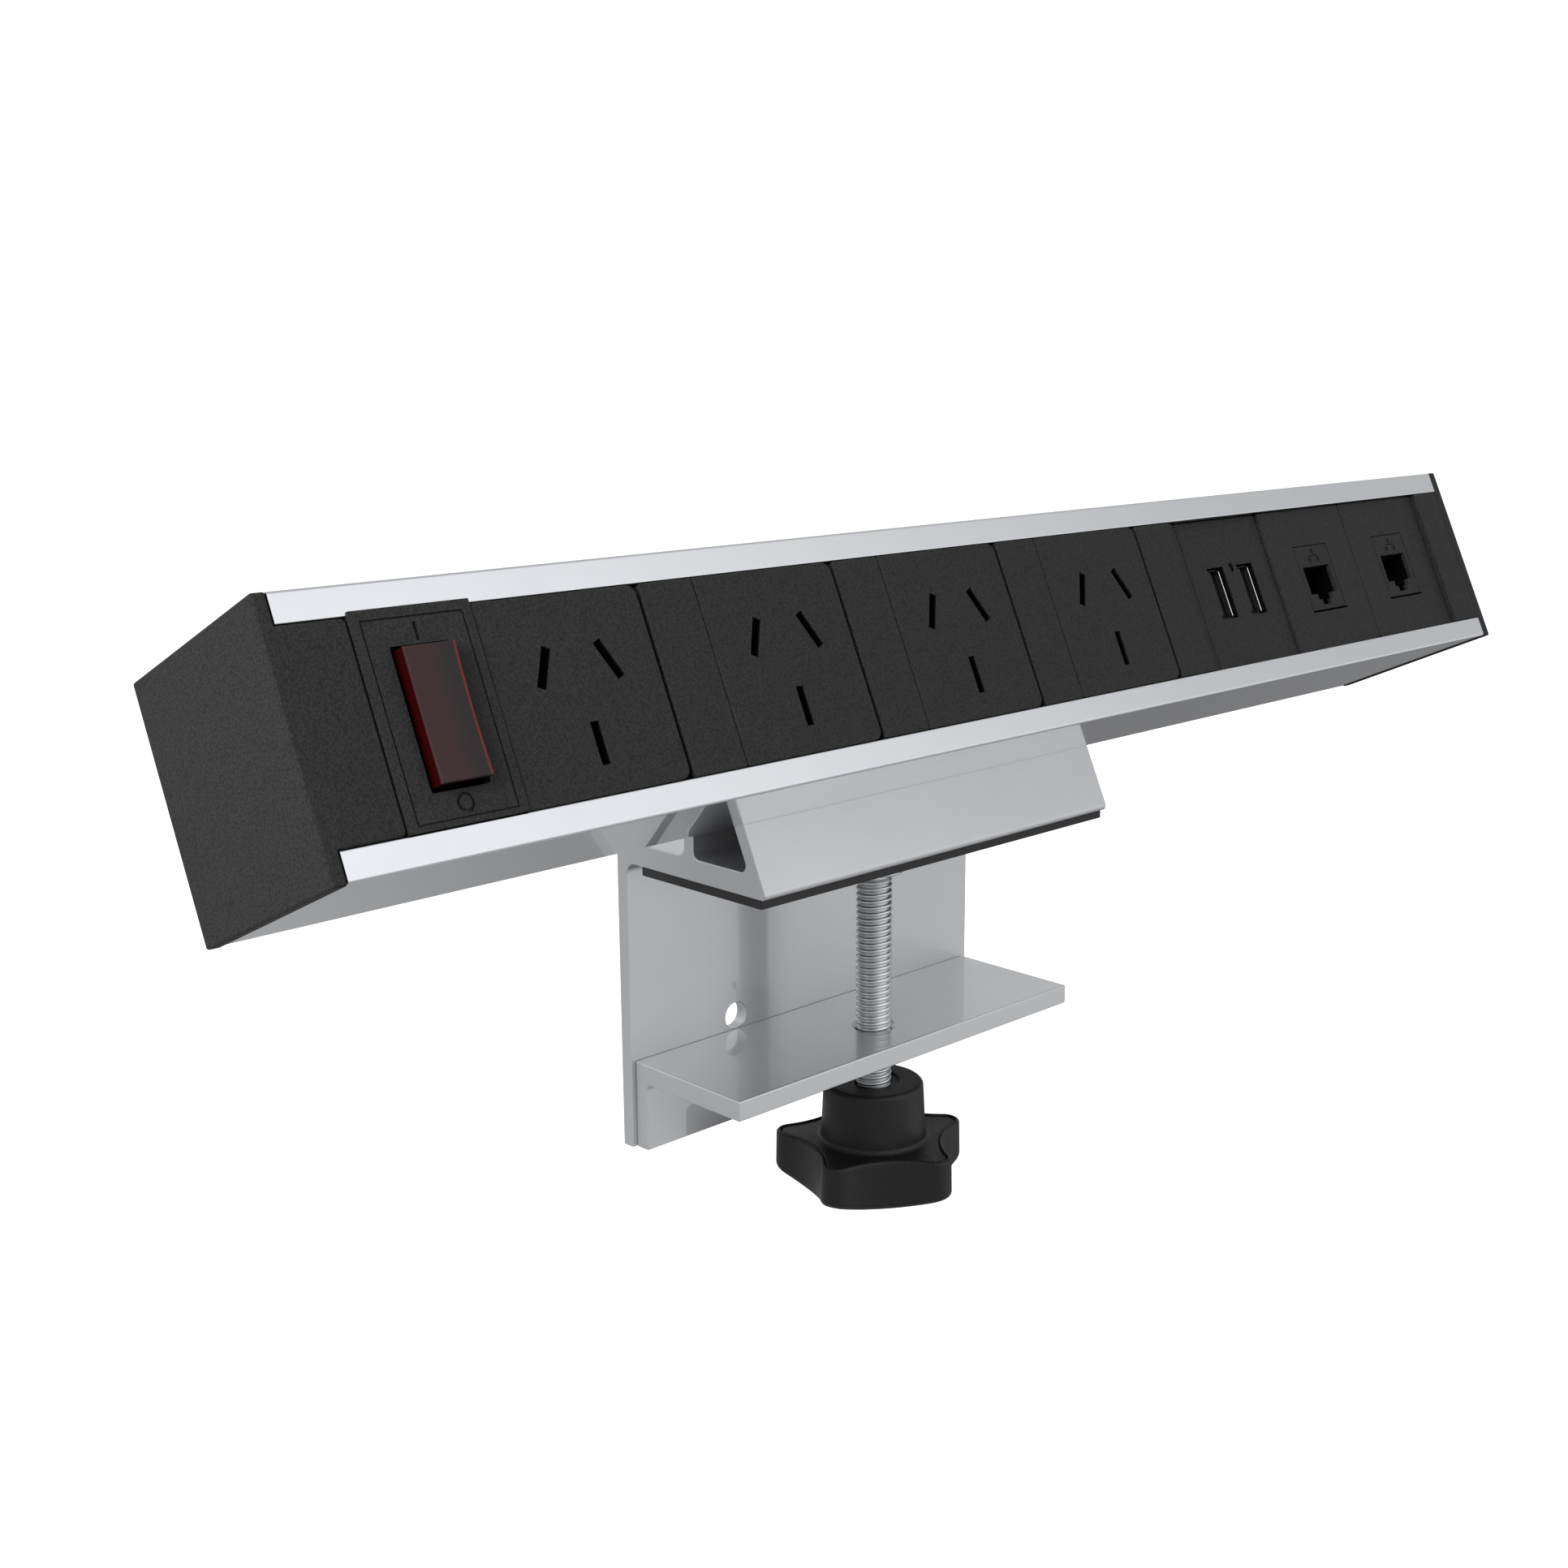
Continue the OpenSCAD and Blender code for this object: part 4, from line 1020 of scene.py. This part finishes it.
# bore is the cup's opening for the ball's neck, and seat the widest part of the hollow over it
footShape = {"soft": 0.6, "bore": 1.7, "boreTop": 1.4, "chamfer": 0.2, "rim": 0.4, "seat": 2.05,
             "seatFoot": 1.6, "seatTop": 3.3, "top": 0.4}


def footPieces():
    f, centre = footShape, screwCentre()
    low, high = clampSpan("foot_cup")
    foot, head, r = low[2], high[2], (high[0] - low[0]) / 2
    a = np.linspace(0, np.pi / 2, 5)
    lowerEdge = zip(r - f["soft"] * (1 - np.sin(a)), foot + f["soft"] * (1 - np.cos(a)))
    profile = [(f["bore"], foot + f["boreTop"]), (f["bore"], foot + f["chamfer"]),
               (f["bore"] + f["chamfer"], foot), *lowerEdge, (r, head - f["rim"]), (r - f["rim"], head),
               (f["top"], head), (f["top"], foot + f["seatTop"]), (f["seat"], foot + f["seatFoot"])]
    piece("footCup", [lathe(profile, centre, 64, True)], "foot", "zinc", "foot_cup")
    low, high = clampSpan("foot_pad")
    r = (high[0] - low[0]) / 2
    profile = [(tip, low[2]), (r, low[2]), (r, high[2] - f["chamfer"]), (r - f["chamfer"], high[2]),
               (tip, high[2])]
    piece("footPad", [lathe(profile, centre)], "foot", "rubber", "foot_pad")


clampScrew()
starKnob()
footPieces()
print("screw, knob and foot made")

# Inner pieces keep their own shape and take a finish
inner = {
    "zinc": ["rocker_pin", "terminal_screws", "channel_nuts", "mounting_screws", "jaw_bolts"],
    "copper": ["active_busbar", "neutral_busbar", "earth_busbar"],
    "gold": ["jack_contacts_1", "jack_contacts_2"], "front": ["usb_tongues"], "grey": ["breaker_body"],
    "cream": ["terminal_block"], "board": ["usb_board"],
    "clear": ["usb_light_pipe"], "rubber": ["mains_gland", "data_gland"],
    "brown": ["wire_active"], "blue": ["wire_neutral"], "green": ["wire_earth"],
}
for finish, names in inner.items():
    for name in names:
        frame["nodes"][name].material_slots[0].material = finishes[finish]
print("inner pieces finished")

# Studio: a pale sweep for the camera, and a surround with broad lamps. Each lamp is a direction, the angles
# in degrees where it is full and where it has faded, and what it adds there.
studio = {"drop": 0.035, "reach": 4.0, "rise": 3.0, "paper": 0.5, "glow": 0.82, "level": 0.55,
          "underneath": 0.40, "horizon": (-0.45, 0.0), "tint": (0.99, 1.0, 1.015)}
lamps = [((0.2, -0.9, 0.4), 10, 50, 0.6), ((0.75, -0.62, -0.25), 8, 34, 0.24),
         ((-0.75, 0.63, -0.2), 8, 30, -0.04), ((0.75, 0.62, 0.2), 6, 24, 0.15),
         ((0.9, 0.34, -0.26), 10, 42, -0.24), ((-0.5, 0.2, 0.85), 15, 45, 0.5)]
softBox = {"place": (-0.75, -0.2, 0.35), "aim": (-0.05, -0.03, 0.03), "size": 0.45, "power": 12.0}


def makeSoftBox():   # a broad lamp on the left, near enough to fall off along the strip
    lamp = bpy.data.lights.new("softBox", "AREA")
    lamp.shape, lamp.size, lamp.energy = "SQUARE", softBox["size"], softBox["power"]
    made = linked(bpy.data.objects.new("softBox", lamp))
    made.location = place = Vector(softBox["place"])
    made.rotation_euler = (Vector(softBox["aim"]) - place).to_track_quat("-Z", "Y").to_euler()
    made.visible_camera = made.visible_glossy = False


def studioSweep():   # a floor whose rim curves up into a wall, closed round the object
    s = studio
    a = np.arange(96) * 2 * np.pi / 96
    curve = np.linspace(0, np.pi / 2, 12)
    radius = np.concatenate([[0.01, s["reach"] * 0.5], s["reach"] + s["rise"] * np.sin(curve)])[:, None]
    height = np.concatenate([[0, 0], s["rise"] * (1 - np.cos(curve))]) + cadBox[0][2] - s["drop"]
    height[-1] += s["rise"]
    points = np.stack([radius * np.cos(a), radius * np.sin(a), height[:, None] + 0 * a], 2)
    index = np.arange(points[..., 0].size).reshape(len(radius), len(a))
    mesh = bpy.data.meshes.new("studioSweep")
    faces = [index[0].tolist()] + belt(index[:-1], index[1:])
    mesh.from_pydata(points.reshape(-1, 3).tolist(), [], faces)
    mesh.shade_smooth()
    finish = Finish("sweepPaper", (s["paper"],) * 3, 0.95, Specular_IOR_Level=0.0,
                    Emission_Strength=s["glow"], Emission_Color=(1, 1, 1, 1))
    mesh.materials.append(finish.material)
    sweep = linked(bpy.data.objects.new("studioSweep", mesh))
    sweep.visible_diffuse = sweep.visible_glossy = False
    sweep.visible_transmission = sweep.visible_shadow = False


def studioSurround():
    world = bpy.data.worlds.new("studioSurround")
    world.use_nodes = True
    surround = Graph(world.node_tree)
    toward = Wire(surround, surround.node("TexCoord").outputs["Generated"])
    up = Wire(surround, surround.node("SeparateXYZ", None, {"Vector": toward}).outputs["Z"])
    light = studio["underneath"] + (studio["level"] - studio["underneath"]) * up.step(*studio["horizon"])
    for direction, full, faded, adds in lamps:
        axis = Vector(direction).normalized()
        facing = surround.node("VectorMath", {"operation": "DOT_PRODUCT"}, {0: toward, 1: axis})
        facing = Wire(surround, facing.outputs["Value"])
        light = light + facing.step(math.cos(math.radians(faded)), math.cos(math.radians(full))) * adds
    background = world.node_tree.nodes["Background"]
    surround.feed(background.inputs["Color"], (*studio["tint"], 1))
    surround.feed(background.inputs["Strength"], light)
    bpy.context.scene.world = world


def makeCamera():
    view = {"place": (-0.3253, -0.3067, 0.1153), "turn": 43.73, "down": 12.70, "roll": -0.373, "lens": 45.55}
    turn, down, roll = (math.radians(view[key]) for key in ("turn", "down", "roll"))
    ahead = Vector((math.sin(turn) * math.cos(down), math.cos(turn) * math.cos(down), -math.sin(down)))
    right = Vector((math.cos(turn), -math.sin(turn), 0))
    up = right.cross(ahead)
    levelRight = right * math.cos(roll) + up * math.sin(roll)
    levelUp = up * math.cos(roll) - right * math.sin(roll)
    camera = bpy.data.cameras.new("camera")
    camera.lens, camera.sensor_width = view["lens"], 36.0
    camera.clip_start = 0.01
    made = linked(bpy.data.objects.new("camera", camera))
    turned = Matrix((levelRight, levelUp, -ahead)).transposed()
    made.matrix_world = Matrix.Translation(view["place"]) @ turned.to_4x4()
    bpy.context.scene.camera = made


studioSweep()
studioSurround()
makeSoftBox()
makeCamera()
bpy.context.scene.view_settings.view_transform = "Standard"
print("studio made")
